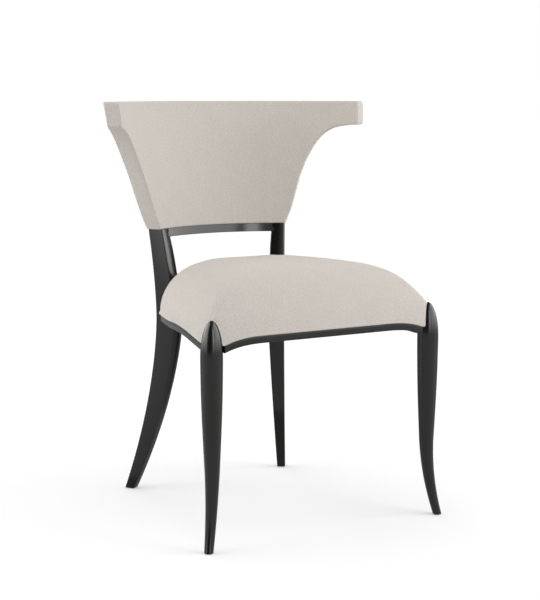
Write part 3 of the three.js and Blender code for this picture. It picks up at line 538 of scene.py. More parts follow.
def linen_finish():
    """Off-white linen: a plain weave about 1 mm fine, with thicker slubs in both directions; the gaps between
    its threads are painted darker, as shade.
    """
    dark_thread, light_thread = shade(0.575, 0.535, 0.487), shade(0.66, 0.618, 0.57)
    # The first colour here is painted shade, for the gaps between the threads
    painted_gap_shade, speckle, cloud = shade(0.45, 0.415, 0.37), shade(0.76, 0.712, 0.66), shade(0.565, 0.52, 0.47)
    pitch, thickness = 0.00105, 0.00022
    slub_across, slub_along = 1500, 40
    f = Finish("linen")
    cut = f.cut()
    weave = plain_weave(f, cut, pitch)
    warp_slub = f.noise(f.scaled(cut, slub_across, slub_along, 1), 1.0, 3.0)
    weft_slub = f.noise(f.scaled(cut, slub_along, slub_across, 1), 1.0, 3.0)
    slub = f.add(warp_slub, weft_slub)
    speck = f.noise(f.scaled(cut, 250, 520, 1), 1.0, 3.0)
    mottle = f.noise(cut, 26, 4.0)
    thread = f.blend(slub, 0.75, 1.25, dark_thread, light_thread)
    # Painted shade: the colour darkens where the weave is low, between the threads
    woven = f.blend(weave, 0.05, 0.45, painted_gap_shade, thread)
    speckled = f.blend(speck, 0.36, 0.64, woven, speckle, 0.75)
    colour = f.blend(mottle, 0.35, 0.65, speckled, cloud, 0.14)
    height = f.add(f.times(weave, 0.7), f.times(slub, 0.5))
    return f.set(Base_Color=colour, Roughness=0.95, Specular_IOR_Level=0.08, Sheen_Weight=0.04,
                 Sheen_Roughness=0.6, Normal=f.bump(height, thickness, 0.7))


def ebonised_finish():
    """Black-stained wood under satin lacquer, with faint long grain."""
    stain, worn_stain = shade(0.0052, 0.0048, 0.0045), shade(0.0095, 0.0085, 0.0078)
    grain_depth = 0.00006
    f = Finish("ebonised_wood")
    cut = f.cut()
    grain = f.noise(f.scaled(cut, 420, 9, 1), 1.0, 4.0)
    pores = f.noise(f.scaled(cut, 1400, 45, 1), 1.0)
    cloud = f.noise(cut, 11, 3.0)
    colour = f.blend(grain, 0.35, 0.7, stain, worn_stain)
    roughness = f.add(f.remap(cloud, 0.3, 0.7, 0.15, 0.19), f.remap(pores, 0.3, 0.7, -0.02, 0.03))
    height = f.add(f.times(grain, 0.6), f.times(pores, 0.4))
    return f.set(Base_Color=colour, Roughness=roughness, Specular_IOR_Level=0.31,
                 Normal=f.bump(height, grain_depth, 0.5))


def bare_wood_finish(name, light, dark, ring_scale):
    """Planed or peeled wood without a finish, its grain along the x axis."""
    f = Finish(name)
    grain = f.noise(f.scaled(f.place(), 7, ring_scale, ring_scale), 3.0, 5.0)
    fleck = f.noise(f.scaled(f.place(), 60, 900, 900), 1.0)
    colour = f.blend(grain, 0.35, 0.65, dark, light)
    colour = f.blend(fleck, 0.55, 0.75, colour, dark, 0.35)
    return f.set(Base_Color=colour, Roughness=0.62, Normal=f.bump(grain, 0.0002, 0.4))


def foam_finish(name, colour, cells):
    """Open-cell foam or wadding, by the size of its cells."""
    f = Finish(name)
    cell = f.node("TexVoronoi", {"Vector": f.place(), "Scale": cells}).outputs["Distance"]
    dark = shade(colour[0] * 0.72, colour[1] * 0.7, colour[2] * 0.6)
    tone = f.blend(cell, 0.1, 0.6, shade(*colour), dark)
    return f.set(Base_Color=tone, Roughness=0.95, Specular_IOR_Level=0.1, Normal=f.bump(cell, 0.0004, 0.6))


def woven_finish(name, light, dark, pitch):
    """A coarse woven band or backing cloth, with shade painted darker in the gaps between its threads."""
    f = Finish(name)
    weave = plain_weave(f, f.place(), pitch)
    hair = f.noise(f.place(), 300, 3.0)
    # Painted shade: the dark colour fills the gaps where the weave is low; the hairs darken it at random as
    # well
    colour = f.blend(weave, 0.05, 0.6, dark, light)
    colour = f.blend(hair, 0.4, 0.7, colour, dark, 0.4)
    return f.set(Base_Color=colour, Roughness=0.93, Specular_IOR_Level=0.15,
                 Normal=f.bump(weave, pitch / 4, 0.7))


def metal_finish():
    zinc = shade(0.55, 0.55, 0.56)
    f = Finish("zinc_steel")
    spangle = f.noise(f.place(), 500)
    return f.set(Base_Color=zinc, Metallic=1.0, Roughness=f.remap(spangle, 0.3, 0.7, 0.28, 0.42))


def nylon_finish():
    black, scuffed = shade(0.016, 0.016, 0.017), shade(0.05, 0.05, 0.05)
    f = Finish("glide_nylon")
    grain = f.noise(f.place(), 2500)
    scuff = f.noise(f.place(), 180, 4.0)
    colour = f.blend(scuff, 0.5, 0.8, black, scuffed)
    return f.set(Base_Color=colour, Roughness=0.5, Normal=f.bump(grain, 0.00005, 0.4))


FINISHES = {
    "cloth": linen_finish(),
    "ebonised_wood": ebonised_finish(),
    "hardwood": bare_wood_finish("beech", shade(0.53, 0.33, 0.16), shade(0.38, 0.21, 0.09), 120),
    "plywood": bare_wood_finish("plywood", shade(0.62, 0.44, 0.24), shade(0.5, 0.33, 0.16), 40),
    "foam": foam_finish("foam", (0.78, 0.72, 0.5), 700),
    "wadding": foam_finish("wadding", (0.84, 0.83, 0.8), 260),
    "jute": woven_finish("jute", shade(0.42, 0.3, 0.15), shade(0.2, 0.13, 0.06), 0.0024),
    "dust_cloth": woven_finish("cambric", shade(0.014, 0.014, 0.015), shade(0.006, 0.006, 0.006), 0.0008),
    "screw_steel": metal_finish(),
    "glide_nylon": nylon_finish(),
}


# Front legs


def read_curve(table, place):
    """One value of a table of (place, value) pairs, read as a smooth curve."""
    at = 0
    while at < len(table) - 2 and place > table[at + 1][0]:
        at += 1
    (x0, y0), (x1, y1) = table[at], table[at + 1]
    slope = (y1 - y0) / (x1 - x0)

    def tangent(index):
        if index in (0, len(table) - 1):
            return slope
        before, after = table[index - 1], table[index + 1]
        return (after[1] - before[1]) / (after[0] - before[0])

    t = min(max((place - x0) / (x1 - x0), 0), 1)
    start = tangent(at) * (x1 - x0)
    end = tangent(at + 1) * (x1 - x0)
    blend = y0 * (1 + 2 * t) * (1 - t) ** 2 + y1 * t * t * (3 - 2 * t)
    return blend + start * t * (1 - t) ** 2 - end * t * t * (1 - t)


def front_leg_radius(z):
    """The leg's radius, from the foot to the tip of the bullet."""
    if z <= LEG_SHOULDER:
        swell = read_curve(LEG_SWELL_SHARES, min(z / LEG_FULL_HEIGHT, 1))
        return lerp(LEG_FOOT_DIAMETER, LEG_DIAMETER, swell) / 2
    rise = min((z - LEG_SHOULDER) / BULLET_LENGTH, 1)
    return LEG_DIAMETER / 2 * (1 - rise**2) ** BULLET_POWER


def front_leg_offset(z):
    return LEG_SWEEP * (1 - min(z / LEG_SWEEP_HEIGHT, 1)) ** 2


def front_legs():
    angles = np.linspace(0, 2 * math.pi, 72, endpoint=False)
    bullet = LEG_SHOULDER + BULLET_LENGTH * BULLET_CLOSE * np.sin(np.linspace(0, math.pi / 2, 26)[1:])
    heights = np.concatenate([np.linspace(FOOT_LEVEL + FOOT_ARRIS, LEG_SHOULDER, 80), bullet])
    profile = [(FOOT_LEVEL, front_leg_radius(FOOT_LEVEL) - FOOT_ARRIS)]
    profile += [(z, front_leg_radius(z)) for z in heights]
    rings = []
    for z, radius in profile:
        offset = front_leg_offset(z)
        x = LEG_X + offset + radius * np.cos(angles)
        rings.append(columns(x, radius * np.sin(angles) - offset, z))
    both_sides("front_leg", "turned", np.array(rings), 40)


# Rear legs


def plank_point(along, across):
    return np.array(REAR_LEG) + ALONG * along + ACROSS * across


def swept(z, waist, height, sweep, sweep_power, rake, rake_power):
    """One long side of the rear leg: swept below the height of its waist and raked above it."""
    if z < height:
        return waist + sweep * (1 - z / height) ** sweep_power
    return waist + rake * ((z - height) / (BACK_BOTTOM - height)) ** rake_power


def rear_leg_back(z):
    return swept(z, WAIST_BACK, WAIST_BACK_HEIGHT, BACK_SWEEP, BACK_SWEEP_POWER, STILE_RAKE, STILE_RAKE_POWER)


def rear_leg_front(z):
    return swept(z, WAIST_FRONT, WAIST_FRONT_HEIGHT, FRONT_SWEEP, FRONT_SWEEP_POWER, STILE_FRONT_RAKE,
                 STILE_FRONT_POWER)


def rear_leg_width(z):
    if z < KNEE_HEIGHT:
        return lerp(REAR_FOOT_WIDTH, KNEE_WIDTH, z / KNEE_HEIGHT)
    swell = smoothstep(z, STILE_SWELL_FOOT, STILE_SWELL_CREST)
    swell *= 1 - smoothstep(z, STILE_SWELL_CREST, BACK_BOTTOM)
    return lerp(KNEE_WIDTH, STILE_WIDTH, smoothstep(z, KNEE_HEIGHT, BACK_BOTTOM)) + STILE_SWELL * swell


def plank_section(origin, angle, spans, arris, z):
    """A level four-sided section with rounded corners, turned by an angle from the chair's depth."""
    back, front, outer, inner = spans
    corners = ((back, outer), (back, inner), (front, inner), (front, outer))
    outline = eased([(u, v, arris) for u, v in corners])
    level = origin + outline[:, :1] * along_of(angle) + outline[:, 1:] * across_of(angle)
    return columns(*level.T, z)


def tongue_section(z):
    outside = bend_radius(z) - FRAME_LAYER
    spans = (outside, outside - FRAME_DEPTH, -TONGUE_WIDTH / 2, TONGUE_WIDTH / 2)
    return plank_section(np.array([0, bend_centre(z)]), tongue_angle(), spans, FOOT_ARRIS, z)


def rear_legs():
    shoulder = BACK_BOTTOM - FIT_GAP
    heights = np.concatenate([np.linspace(FOOT_LEVEL, WAIST_BACK_HEIGHT, 70),
                              np.linspace(WAIST_BACK_HEIGHT + STILE_STEP, shoulder, 34)])
    rings = []
    for z in heights:
        spans = (rear_leg_back(z), rear_leg_front(z), 0, rear_leg_width(z))
        rings.append(plank_section(plank_point(0, 0), LEG_TURN, spans, REAR_ARRIS, z))
    rings += [tongue_section(shoulder), tongue_section(crest_bottom() - FIT_GAP)]
    both_sides("rear_leg", "sawn", np.array(rings), 50)


# Seat frame


def arch_at(distance, drop, run, power):
    return drop * (1 - np.clip(distance / run, 0, 1)) ** power


def front_places(count):
    """Outside of the front rail, from its middle into the leg, as rows of x, y and drop."""
    leg_side = LEG_X - LEG_DIAMETER / 2
    x = np.concatenate([[0], np.linspace(leg_side - ARCH_RUN, leg_side, count), [LEG_X]])
    drop = arch_at(leg_side - x, ARCH_DROP, ARCH_RUN, ARCH_POWER)
    return columns(x, RAIL_FACE, drop)


def side_places(count):
    start = np.array([SEAT_FRONT_HALF, RAIL_FACE])
    run = np.array([SEAT_REAR_HALF, SIDE_RAIL_RUN]) - start
    length = np.linalg.norm(run)
    t = np.linspace(0, 1, count)[:, None]
    points = start + run * t + right_of(run) * 4 * SIDE_BOW * t * (1 - t)
    from_leg = t * length - (LEG_DIAMETER / 2 - RAIL_FACE)
    drop = arch_at(from_leg, SIDE_ARCH_DROP, SIDE_ARCH_RUN, SIDE_ARCH_POWER)
    drop += REAR_ARCH_DROP * (1 - smoothstep((1 - t) * length, REAR_ARCH_LANDING, REAR_ARCH_RUN))
    return np.hstack([points, drop])


def corner_places(count):
    width = SEAT_FRONT_HALF - SEAT_REAR_HALF
    depth = SIDE_RAIL_RUN - RAIL_FACE
    first = math.atan2(width, depth) + math.atan(4 * SIDE_BOW / math.hypot(width, depth))
    angles = np.linspace(first, math.pi / 2, count + 1)[1:]
    x = SEAT_REAR_HALF + REAR_CORNER_RADIUS * (np.cos(angles) - math.cos(first))
    y = SIDE_RAIL_RUN + REAR_CORNER_RADIUS * (np.sin(angles) - math.sin(first))
    return columns(x, y, REAR_ARCH_DROP)


def rear_places(count):
    leg_side = plank_point(rear_leg_back(WAIST_BACK_HEIGHT), rear_leg_width(WAIST_BACK_HEIGHT))[0]
    arch = np.linspace(SEAT_REAR_CORNER_X - CORNER_STEP, leg_side - ARCH_RUN, count)
    x = np.concatenate([[SEAT_REAR_CORNER_X], arch, [0]])
    drop = arch_at(leg_side - x, REAR_ARCH_DROP, ARCH_RUN, ARCH_POWER)
    return columns(x, SEAT_REAR_EDGE, drop)


def flipped(places):
    return mirrored(places)[::-1]


def add_rail(place, places, mirror=False):
    """A rail along its places: show strip, rebate for the cloth and bevelled top edge."""
    run = np.vstack([places[1:], places[-1:]]) - np.vstack([places[:1], places[:-1]])
    rings = []
    for (x, y, drop), outward in zip(places, right_of(run[:, :2])):
        bottom = RAIL_BOTTOM - drop
        ledge = STRIP_TOP - drop
        outline = eased([(0, bottom, RAIL_ARRIS), (0, ledge, LEDGE_ARRIS), (RAIL_REBATE, ledge, 0),
                         (RAIL_REBATE, RAIL_TOP - RAIL_CHAMFER, 0), (RAIL_REBATE + RAIL_CHAMFER, RAIL_TOP, 0),
                         (RAIL_THICKNESS, RAIL_TOP, LEDGE_ARRIS), (RAIL_THICKNESS, bottom, INNER_ARRIS)])
        level = np.array([x, y]) - outline[:, :1] * outward
        rings.append(columns(*level.T, outline[:, 1]))
    rings = np.array(rings)
    node = f"seat_rail_{place}"
    build(node + "_shaped", node, mirrored(rings) if mirror else rings, 35, ring_cuts(rings))


def rails():
    """The four rails; each end runs a little into its leg, as a tenon's shoulder does."""
    front = front_places(26)
    front = front[front[:, 0] < LEG_X - LEG_DIAMETER / 2 + RAIL_EMBED]
    add_rail("front", np.vstack([flipped(front[1:]), front]))
    side = side_places(90)
    side = side[side[:, 1] > LEG_DIAMETER / 2 - RAIL_EMBED]
    side = np.vstack([side, corner_places(10)])
    limit = plank_point(WAIST_FRONT + RAIL_EMBED, 0)
    side = side[(side[:, :2] - limit) @ ALONG < RAIL_THICKNESS]
    add_rail("side_right", side)
    add_rail("side_left", side, True)
    rear = rear_places(20)
    rear = rear[rear[:, 0] < plank_point(0, KNEE_WIDTH)[0] - RAIL_EMBED]
    add_rail("rear", np.vstack([rear, flipped(rear[:-1])]))


# Seat upholstery


def spaced(points, step):
    """Points at even steps along a line of straight runs, by their level distance."""
    run = distances(points[:, :2])
    places = np.linspace(0, run[-1], int(run[-1] / step))
    return np.column_stack([places] + [np.interp(places, run, points[:, k]) for k in range(points.shape[1])])


def softened(angle, reach, width):
    """A reach averaged over nearby directions, so that its corners are round."""
    turned = np.concatenate([-angle[1:][::-1], angle, 2 * math.pi - angle[:-1][::-1]])
    values = np.concatenate([reach[1:][::-1], reach, reach[:-1][::-1]])
    even = np.linspace(-math.pi, 2 * math.pi, 1500)
    values = np.interp(even, turned, values)
    spread = np.exp(-((even[:, None] - angle[None, :]) / width) ** 2 / 2)
    return (values @ spread) / spread.sum(axis=0)


class SeatPlan:
    """The right half of the seat's outline, seen from its middle, and the spokes that its surfaces follow."""

    def __init__(self, spoke_step=SPOKE_STEP, ease=CLOTH_EASE):
        self.ease = ease
        corner = [[SEAT_FRONT_HALF, RAIL_FACE, ARCH_DROP]]
        outline = np.vstack([front_places(60)[:-1], corner, side_places(240)[1:], corner_places(16),
                             rear_places(40)])
        self.run, x, y, self.drop = spaced(outline, OUTLINE_STEP).T
        self.angle = np.arctan2(x, SEAT_CENTRE_Y - y)
        self.reach = np.hypot(x, SEAT_CENTRE_Y - y)
        self.leg_angle = math.atan2(LEG_X, SEAT_CENTRE_Y)
        self.leg_reach = math.hypot(LEG_X, SEAT_CENTRE_Y)
        at_corner = np.exp(-(((self.angle - self.leg_angle) / CORNER_SOFT_WIDTH) ** 2))
        self.soft_reach = lerp(self.reach, softened(self.angle, self.reach, CORNER_SOFTNESS), at_corner)
        self.leg_half = self.leg_half_angle(0)
        self.stile = stile_angles(ease)
        self.lay_spokes(int(self.run[-1] / spoke_step))

    def lay_spokes(self, count):
        """Spokes at even steps, with two at each side of a leg: one beside it and one that ends at it."""
        spokes = np.interp(np.linspace(0, self.run[-1], count), self.run, self.angle)
        leg = (self.leg_angle - self.leg_half, self.leg_angle + self.leg_half)
        spokes = np.concatenate([spokes, leg, leg, self.stile, self.stile])
        order = np.argsort(spokes, kind="stable")
        self.spokes = spokes[order]
        self.at_leg = (self.spokes > leg[0]) & (self.spokes < leg[1])
        self.at_stile = (self.spokes > self.stile[0]) & (self.spokes < self.stile[1])
        for flags, (low, high) in ((self.at_leg, leg), (self.at_stile, self.stile)):
            flags[np.flatnonzero(self.spokes == low)[-1]] = True
            flags[np.flatnonzero(self.spokes == high)[0]] = True

    def leg_half_angle(self, z):
        return math.asin((front_leg_radius(z if z else LEG_SHOULDER) + self.ease) / self.leg_reach)

    def bent(self, z):
        """The spokes' angles at one height each: they close in on a leg's tapering tip and open above it."""
        tip = LEG_SHOULDER + BULLET_LENGTH
        angles = self.spokes.copy()
        for i, (angle, height) in enumerate(zip(self.spokes, z)):
            aside = abs(angle - self.leg_angle)
            if aside > self.leg_half + LEG_PARTING_REACH:
                continue
            open_again = smoothstep(height, tip, tip + LEG_PARTING_CLOSE)
            half = lerp(self.leg_half_angle(min(height, tip)), self.leg_half, open_again)
            if aside > self.leg_half:
                t = (aside - self.leg_half) / LEG_PARTING_REACH
                moved = half + t * (LEG_PARTING_REACH + self.leg_half - half)
            else:
                moved = aside * half / self.leg_half
            angles[i] = self.leg_angle + math.copysign(moved, angle - self.leg_angle)
        return angles

    def limit(self, angles, z, ease):
        """How far out a surface can go along each spoke before it meets a leg."""
        limit = np.full(len(angles), np.inf)
        for i in np.flatnonzero(self.at_leg & (z < LEG_SHOULDER + BULLET_LENGTH)):
            aside = self.leg_reach * math.sin(angles[i] - self.leg_angle)
            forward = self.leg_reach * math.cos(angles[i] - self.leg_angle)
            radius = front_leg_radius(z[i]) + ease
            limit[i] = forward - math.sqrt(max(radius**2 - aside**2, 0))
        for i in np.flatnonzero(self.at_stile):
            face = plank_point(rear_leg_front(z[i]) - ease, 0) - np.array([0, SEAT_CENTRE_Y])
            limit[i] = (face @ ALONG) / (np.array([math.sin(angles[i]), -math.cos(angles[i])]) @ ALONG)
        return limit

    def at(self, angles, values):
        return np.interp(angles, self.angle, values)

    def edge(self, angles):
        """The height of the cloth's lower edge, on the rails' ledge."""
        return STRIP_TOP - self.at(angles, self.drop) + FIT_GAP

    def ring(self, out, angles, z):
        """Both halves of a ring that is given on the right."""
        half = columns(out * np.sin(angles), SEAT_CENTRE_Y - out * np.cos(angles), z)
        return np.vstack([half, mirrored(half[1:-1])[::-1]])


def stile_angles(ease):
    """The two directions from the seat's middle between which a rear leg stands in the cloth's way."""
    face = rear_leg_front(STILE_CLOTH_HEIGHT)
    corners = [plank_point(face, across) for across in (rear_leg_width(STILE_SWELL_CREST) + ease, -ease)]
    return tuple(sorted(math.atan2(x, SEAT_CENTRE_Y - y) for x, y in corners))


def seat_lip(reach, angles):
    """How far the cloth's folded edge stands out over the rail."""
    return SEAT_LIP + SEAT_REAR_LIP * smoothstep(SEAT_CENTRE_Y - reach * np.cos(angles), *SEAT_REAR_LIP_SPAN)


def seat_ring(plan, turn, depth):
    """One ring of the seat: turn runs from 0 at the crown to 1 at the edge, and may differ between spokes."""
    turn = np.broadcast_to(turn, plan.spokes.shape)
    share = np.sin(math.pi / 2 * turn) ** (2 / SEAT_CROWN_POWER)
    rise = np.cos(math.pi / 2 * turn) ** (2 * SEAT_SHOULDER_POWER)
    edge = plan.edge(plan.spokes) + depth / 2
    z = edge + (SEAT_CROWN - depth - edge) * rise + SEAT_TILT * rise * share * np.cos(plan.spokes)
    angles = plan.bent(z)
    reach = plan.at(angles, plan.reach)
    soft = plan.at(angles, plan.soft_reach)
    reach = lerp(reach, soft, smoothstep(rise, *CORNER_SOFT_RISE))
    flank = np.clip((SEAT_CENTRE_Y - reach * np.cos(angles)) / SEAT_BULGE_RUN, 0, 1)
    swell = rise / SEAT_BULGE_SHARE * np.exp(1 - rise / SEAT_BULGE_SHARE)
    out = share * (reach - depth) + SEAT_BULGE * swell * (4 * flank * (1 - flank)) ** SEAT_BULGE_SPREAD
    if depth == 0:
        out += seat_lip(reach, angles) * np.exp(-((z - edge) / SEAT_LIP_HEIGHT) ** 2)
        out += seat_creases(plan, angles, z - edge)
    return plan.ring(np.minimum(out, plan.limit(angles, z, plan.ease + depth / 2)), angles, z)


def seat_creases(plan, angles, height):
    """Small unevenness of tight cloth: a slow swell, and pulls above the tacked edge."""
    near_edge = np.exp(-height / PULL_HEIGHT) * smoothstep(height, 0, SEAT_LIP_HEIGHT)
    run = plan.at(angles, plan.run)
    slow, pull = (np.array([noise.noise(Vector((a * along, h * up, seed))) for a, h in zip(run, height)])
                  for along, up, seed in (SEAT_UNEVEN_NOISE, SEAT_PULL_NOISE))
    return SEAT_UNEVEN * slow * np.clip(height / UNEVEN_MARGIN, 0, 1) + SEAT_PULL * pull * near_edge


def seat_cover():
    """The seat's cloth: its inside, its hem on the rails' ledge, and its outside back up to the crown."""
    plan = SeatPlan()
    inner_turns = np.linspace(0.02, 1, 22)
    outer_turns = np.concatenate([np.linspace(0.02, 0.6, 18), np.linspace(0.62, 0.97, 40)])
    rings = [seat_ring(plan, turn, SEAT_CLOTH) for turn in inner_turns]
    edge = plan.edge(plan.spokes)
    limit = plan.limit(plan.spokes, edge, CLOTH_EASE)
    reach = plan.at(plan.spokes, plan.reach)
    reach += seat_lip(reach, plan.spokes)
    for inset, rise in SEAT_HEM:
        rings.append(plan.ring(np.minimum(reach - inset, limit - inset / 2), plan.spokes, edge + rise))
    rings += [seat_ring(plan, turn, 0) for turn in outer_turns[::-1]]
    build("seat_cover_cloth", "seat_cover", rings, cuts=seat_cuts(rings))


def seat_foam():
    """The domed foam, flat where it rests on the hessian."""
    depth = SEAT_CLOTH + CLOTH_EASE
    plan = SeatPlan(FOAM_SPOKE_STEP, depth + CLOTH_EASE)
    edge = plan.edge(plan.spokes) + depth / 2
    rise = (FOAM_LEVEL - edge) / (SEAT_CROWN - depth - edge)
    last = np.arccos(rise ** (1 / (2 * SEAT_SHOULDER_POWER))) / (math.pi / 2)
    rings = [seat_ring(plan, last * share, depth) for share in np.linspace(0.03, 1, 44)]
    centre = np.array([0, SEAT_CENTRE_Y, FOAM_LEVEL])
    rim = rings[-1]
    rings += [centre + (rim - centre) * np.array([share, share, 0]) for share in (0.98, 0.6, 0.1)]
    build("seat_foam_block", "seat_foam", rings)


def seat_cuts(rings):
    """Cloth coordinates of the seat: straight from above, and let down over the sides at true length."""
    rings = np.array(rings)
    closed = np.concatenate([rings, rings[:, :1]], axis=1)
    level = closed[:, :, :2] - np.array([0, SEAT_CENTRE_Y])
    return level + unit(level) * (SEAT_CROWN - closed[:, :, 2:]) * CLOTH_FALL


def level_cloth(name, node, margin, sag):
    """A thin cloth stretched inside the seat frame, at its node's level, that sags between its edges."""
    low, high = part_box(node)
    plan = SeatPlan(SHEET_SPOKE_STEP)
    tacked = plan.at(plan.spokes, plan.reach) - margin
    limit = plan.limit(plan.spokes, np.full(len(plan.spokes), high.z / MM), SHEET_EASE)
    rings = []
    for level, shares in ((high.z / MM, SHEET_SHARES), (low.z / MM, SHEET_SHARES[::-1])):
        for share in shares:
            out = np.minimum(tacked * share, limit - (1 - share) * SHEET_EASE)
            rings.append(plan.ring(out, plan.spokes, level - sag * (1 - (out / tacked) ** 2)))
    piece = build(name, node, rings, cuts=seat_cuts(rings))


def strap_wave(t, half, pitch, sign, shift):
    """How far a strap's middle stands above its mean level: over and under the straps that cross it."""
    fade = smoothstep(half - np.abs(t), 0, STRAP_LANDING * 2)
    return lerp(-STRAP_WAVE, sign * STRAP_WAVE * np.cos(math.pi * (t + shift) / pitch), fade)


def strap(node, along, sign):
    """One jute strap, in the box of its node, with its selvedges rounded."""
    low, high = (np.array(corner) / MM - [0, ORIGIN_Y, 0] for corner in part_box(node))
    middle = (low + high) / 2
    across = 1 - along
    half = (high - low)[along] / 2
    level = RAIL_TOP + FIT_GAP + STRAP_THICKNESS / 2 + STRAP_WAVE
    pitch, shift = (STRAP_PITCH_X, 0) if along == 0 else (STRAP_PITCH_Y, middle[1] - STRAP_CENTRE_Y)
    t = np.linspace(-half, half, 61)
    heights = level + strap_wave(t, half, pitch, sign, shift)
    width, thick = (high - low)[across] / 2, STRAP_THICKNESS / 2
    corners = ((-width, -thick), (-width, thick), (width, thick), (width, -thick))
    outline = eased([(*corner, SELVEDGE) for corner in corners])
    rings = np.zeros((len(t), len(outline), 3))
    rings[:, :, along] = middle[along] + t[:, None]
    rings[:, :, across] = middle[across] + outline[:, 0]
    rings[:, :, 2] = heights[:, None] + outline[:, 1]
    build(node + "_woven", node, rings)


def straps():
    """Three straps each way; in turn they pass over and under each other."""
    for number in (1, 2, 3):
        strap(f"seat_strap_across_{number}", 0, 1 if number == 2 else -1)
        strap(f"seat_strap_along_{number}", 1, -1 if number == 2 else 1)


# Back


def bend_radius(z):
    return BEND_RADIUS + (z - BACK_BOTTOM) * math.tan(BACK_FLARE)


STILE_CORNER = plank_point(rear_leg_back(BACK_BOTTOM), 0)
BEND_Y = STILE_CORNER[1] - math.sqrt((BEND_RADIUS - STILE_SET_IN) ** 2 - STILE_CORNER[0] ** 2)
STILE_ANGLE = math.atan2(STILE_CORNER[0], STILE_CORNER[1] - BEND_Y)
CORNER_ARC = STILE_ANGLE * BEND_RADIUS + STILE_COVER
WING_ARC = WING_ANGLE * BEND_RADIUS


def bend_centre(z):
    return BEND_Y + (z - BACK_BOTTOM) * math.tan(BACK_LEAN)


def tongue_angle():
    return STILE_ANGLE - (TONGUE_SETBACK + TONGUE_WIDTH / 2) / BEND_RADIUS


def crest_bottom():
    return BACK_TOP - BACK_CLOTH - CREST_MARGIN - CREST_HEIGHT


def on_back(across, up, depth):
    """Points of the back: across along the bend and up from the lower edge, at a depth in from the outside.

    Towards the wing tips deeper layers reach further round, as the wings' edges aren't cut square to the
    bend, and the tips' ends are a little undercut.
    """
    z = BACK_BOTTOM + up
    radius = bend_radius(z) - depth
    near_tip = smoothstep(np.abs(across), WING_ARC - WING_UNDERCUT_RUN, WING_ARC)
    fall = np.clip((BACK_TOP - z) / (BACK_TOP - BACK_BOTTOM) / (1 - BACK_EDGE_SHARES[-1][1]), 0, 1)
    angle = (across - np.sign(across) * WING_UNDERCUT * near_tip * fall) / BEND_RADIUS
    past = np.clip((np.abs(angle) - STILE_ANGLE) / (WING_ANGLE - STILE_ANGLE), 0, 1)
    angle = angle + np.sign(angle) * WING_SKEW_SHARE * (1 - (1 - past) ** 3) * depth / radius
    return np.stack([radius * np.sin(angle), bend_centre(z) + radius * np.cos(angle), z + 0 * angle], axis=-1)


def back_thickness(across):
    thin = smoothstep(np.abs(across) / WING_ARC, WING_THIN_SHARE, 1)
    return lerp(BACK_THICKNESS, WING_TIP_THICKNESS, thin)


def wing_outline(inset, count=90, corner_steps=9):
    """Half of the back's flat outline, from a bottom corner round the wing's tip to the top: across, up."""
    height = BACK_TOP - BACK_BOTTOM
    knots = [(lerp(CORNER_ARC, WING_ARC, a), h * height) for a, h in BACK_EDGE_SHARES]
    edge = curve_through(knots, count)
    moved = edge - right_of(np.gradient(edge, axis=0)) * inset
    moved[:, 1] = np.maximum(moved[:, 1], inset)
    start = WING_ARC - WING_CORNER_RADIUS
    lower = moved[edge[:, 0] < start - CORNER_STEP]
    radius = WING_CORNER_RADIUS - inset
    turn = np.linspace(0, math.pi / 2, corner_steps)
    x, rise = start + radius * np.sin(turn), radius * (1 - np.cos(turn))
    low = columns(x, moved[-1, 1] + rise)
    top = columns(x, height - inset - rise)
    return lower, low, top[::-1]


def back_loop(inset):
    """The whole flat outline except the straight lower edge, from the right bottom corner to the left one."""
    lower, low, top = wing_outline(inset)
    tip = np.vstack([lower, low, top])
    over = np.linspace(top[-1, 0], 0, 70)[1:]
    half = np.vstack([tip, columns(over, top[-1, 1])])
    return np.vstack([half, half[:-1][::-1] * np.array([-1, 1])])


def back_columns(inset):
    """Upright lines across the back: across, low and high."""
    lower, low, top = wing_outline(inset)
    high = top[-1, 1]
    edge = np.vstack([columns(*lower.T, high), columns(*low.T, top[::-1, 1])])
    middle = [(x, inset, high) for x in np.linspace(0, edge[0, 0], 32, endpoint=False)]
    half = np.vstack([middle, edge])
    return np.vstack([flipped(half[1:]), half])


def edge_distance(across, up):
    """Distance of flat places from the back's outline, its lower edge included."""
    loop = back_loop(0)
    ends = np.linspace(loop[-1, 0], loop[0, 0], 120)
    outline = np.vstack([loop, columns(ends, 0)])
    points = np.stack([across.ravel(), up.ravel()], axis=1)
    nearest = np.full(len(points), np.inf)
    for start, end in zip(outline, np.roll(outline, -1, axis=0)):
        run = end - start
        t = np.clip((points - start) @ run / max(run @ run, 1e-9), 0, 1)
        nearest = np.minimum(nearest, np.linalg.norm(points - start - t[:, None] * run, axis=1))
    return nearest.reshape(across.shape)


def rounding(distance, radius, drop):
    """How far a face falls back near its edge, as a quarter of an oval."""
    t = 1 - np.clip(distance / radius, 0, 1)
    return drop * (1 - np.sqrt(np.maximum(1 - t**2, 0)))


def face_grid(inset, rows):
    columns = back_columns(inset)
    share = (1 - np.cos(np.linspace(0, math.pi, rows))) / 2
    across = np.repeat(columns[:, :1], rows, axis=1)
    up = columns[:, 1:2] + (columns[:, 2:3] - columns[:, 1:2]) * share[None, :]
    return across, up


def cloth_noise(across, up, seed, scale, amount):
    values = [noise.noise(Vector((a * scale, u * scale, seed))) for a, u in zip(across.ravel(), up.ravel())]
    return np.array(values).reshape(across.shape) * amount


def plate(name, node, across, up, front_depth, rear_depth, fill=CLOTH_FILL):
    """A closed layer bent to the back, between two depths given on a grid of flat places."""
    rear = on_back(across, up, rear_depth)[:, ::-1]
    rings = np.concatenate([on_back(across, up, front_depth), rear], axis=1)
    flat = np.stack([across, up], axis=2)
    cuts = np.concatenate([flat, flat[:, ::-1], flat[:, :1]], axis=1)
    build(name, node, rings, cuts=cuts)


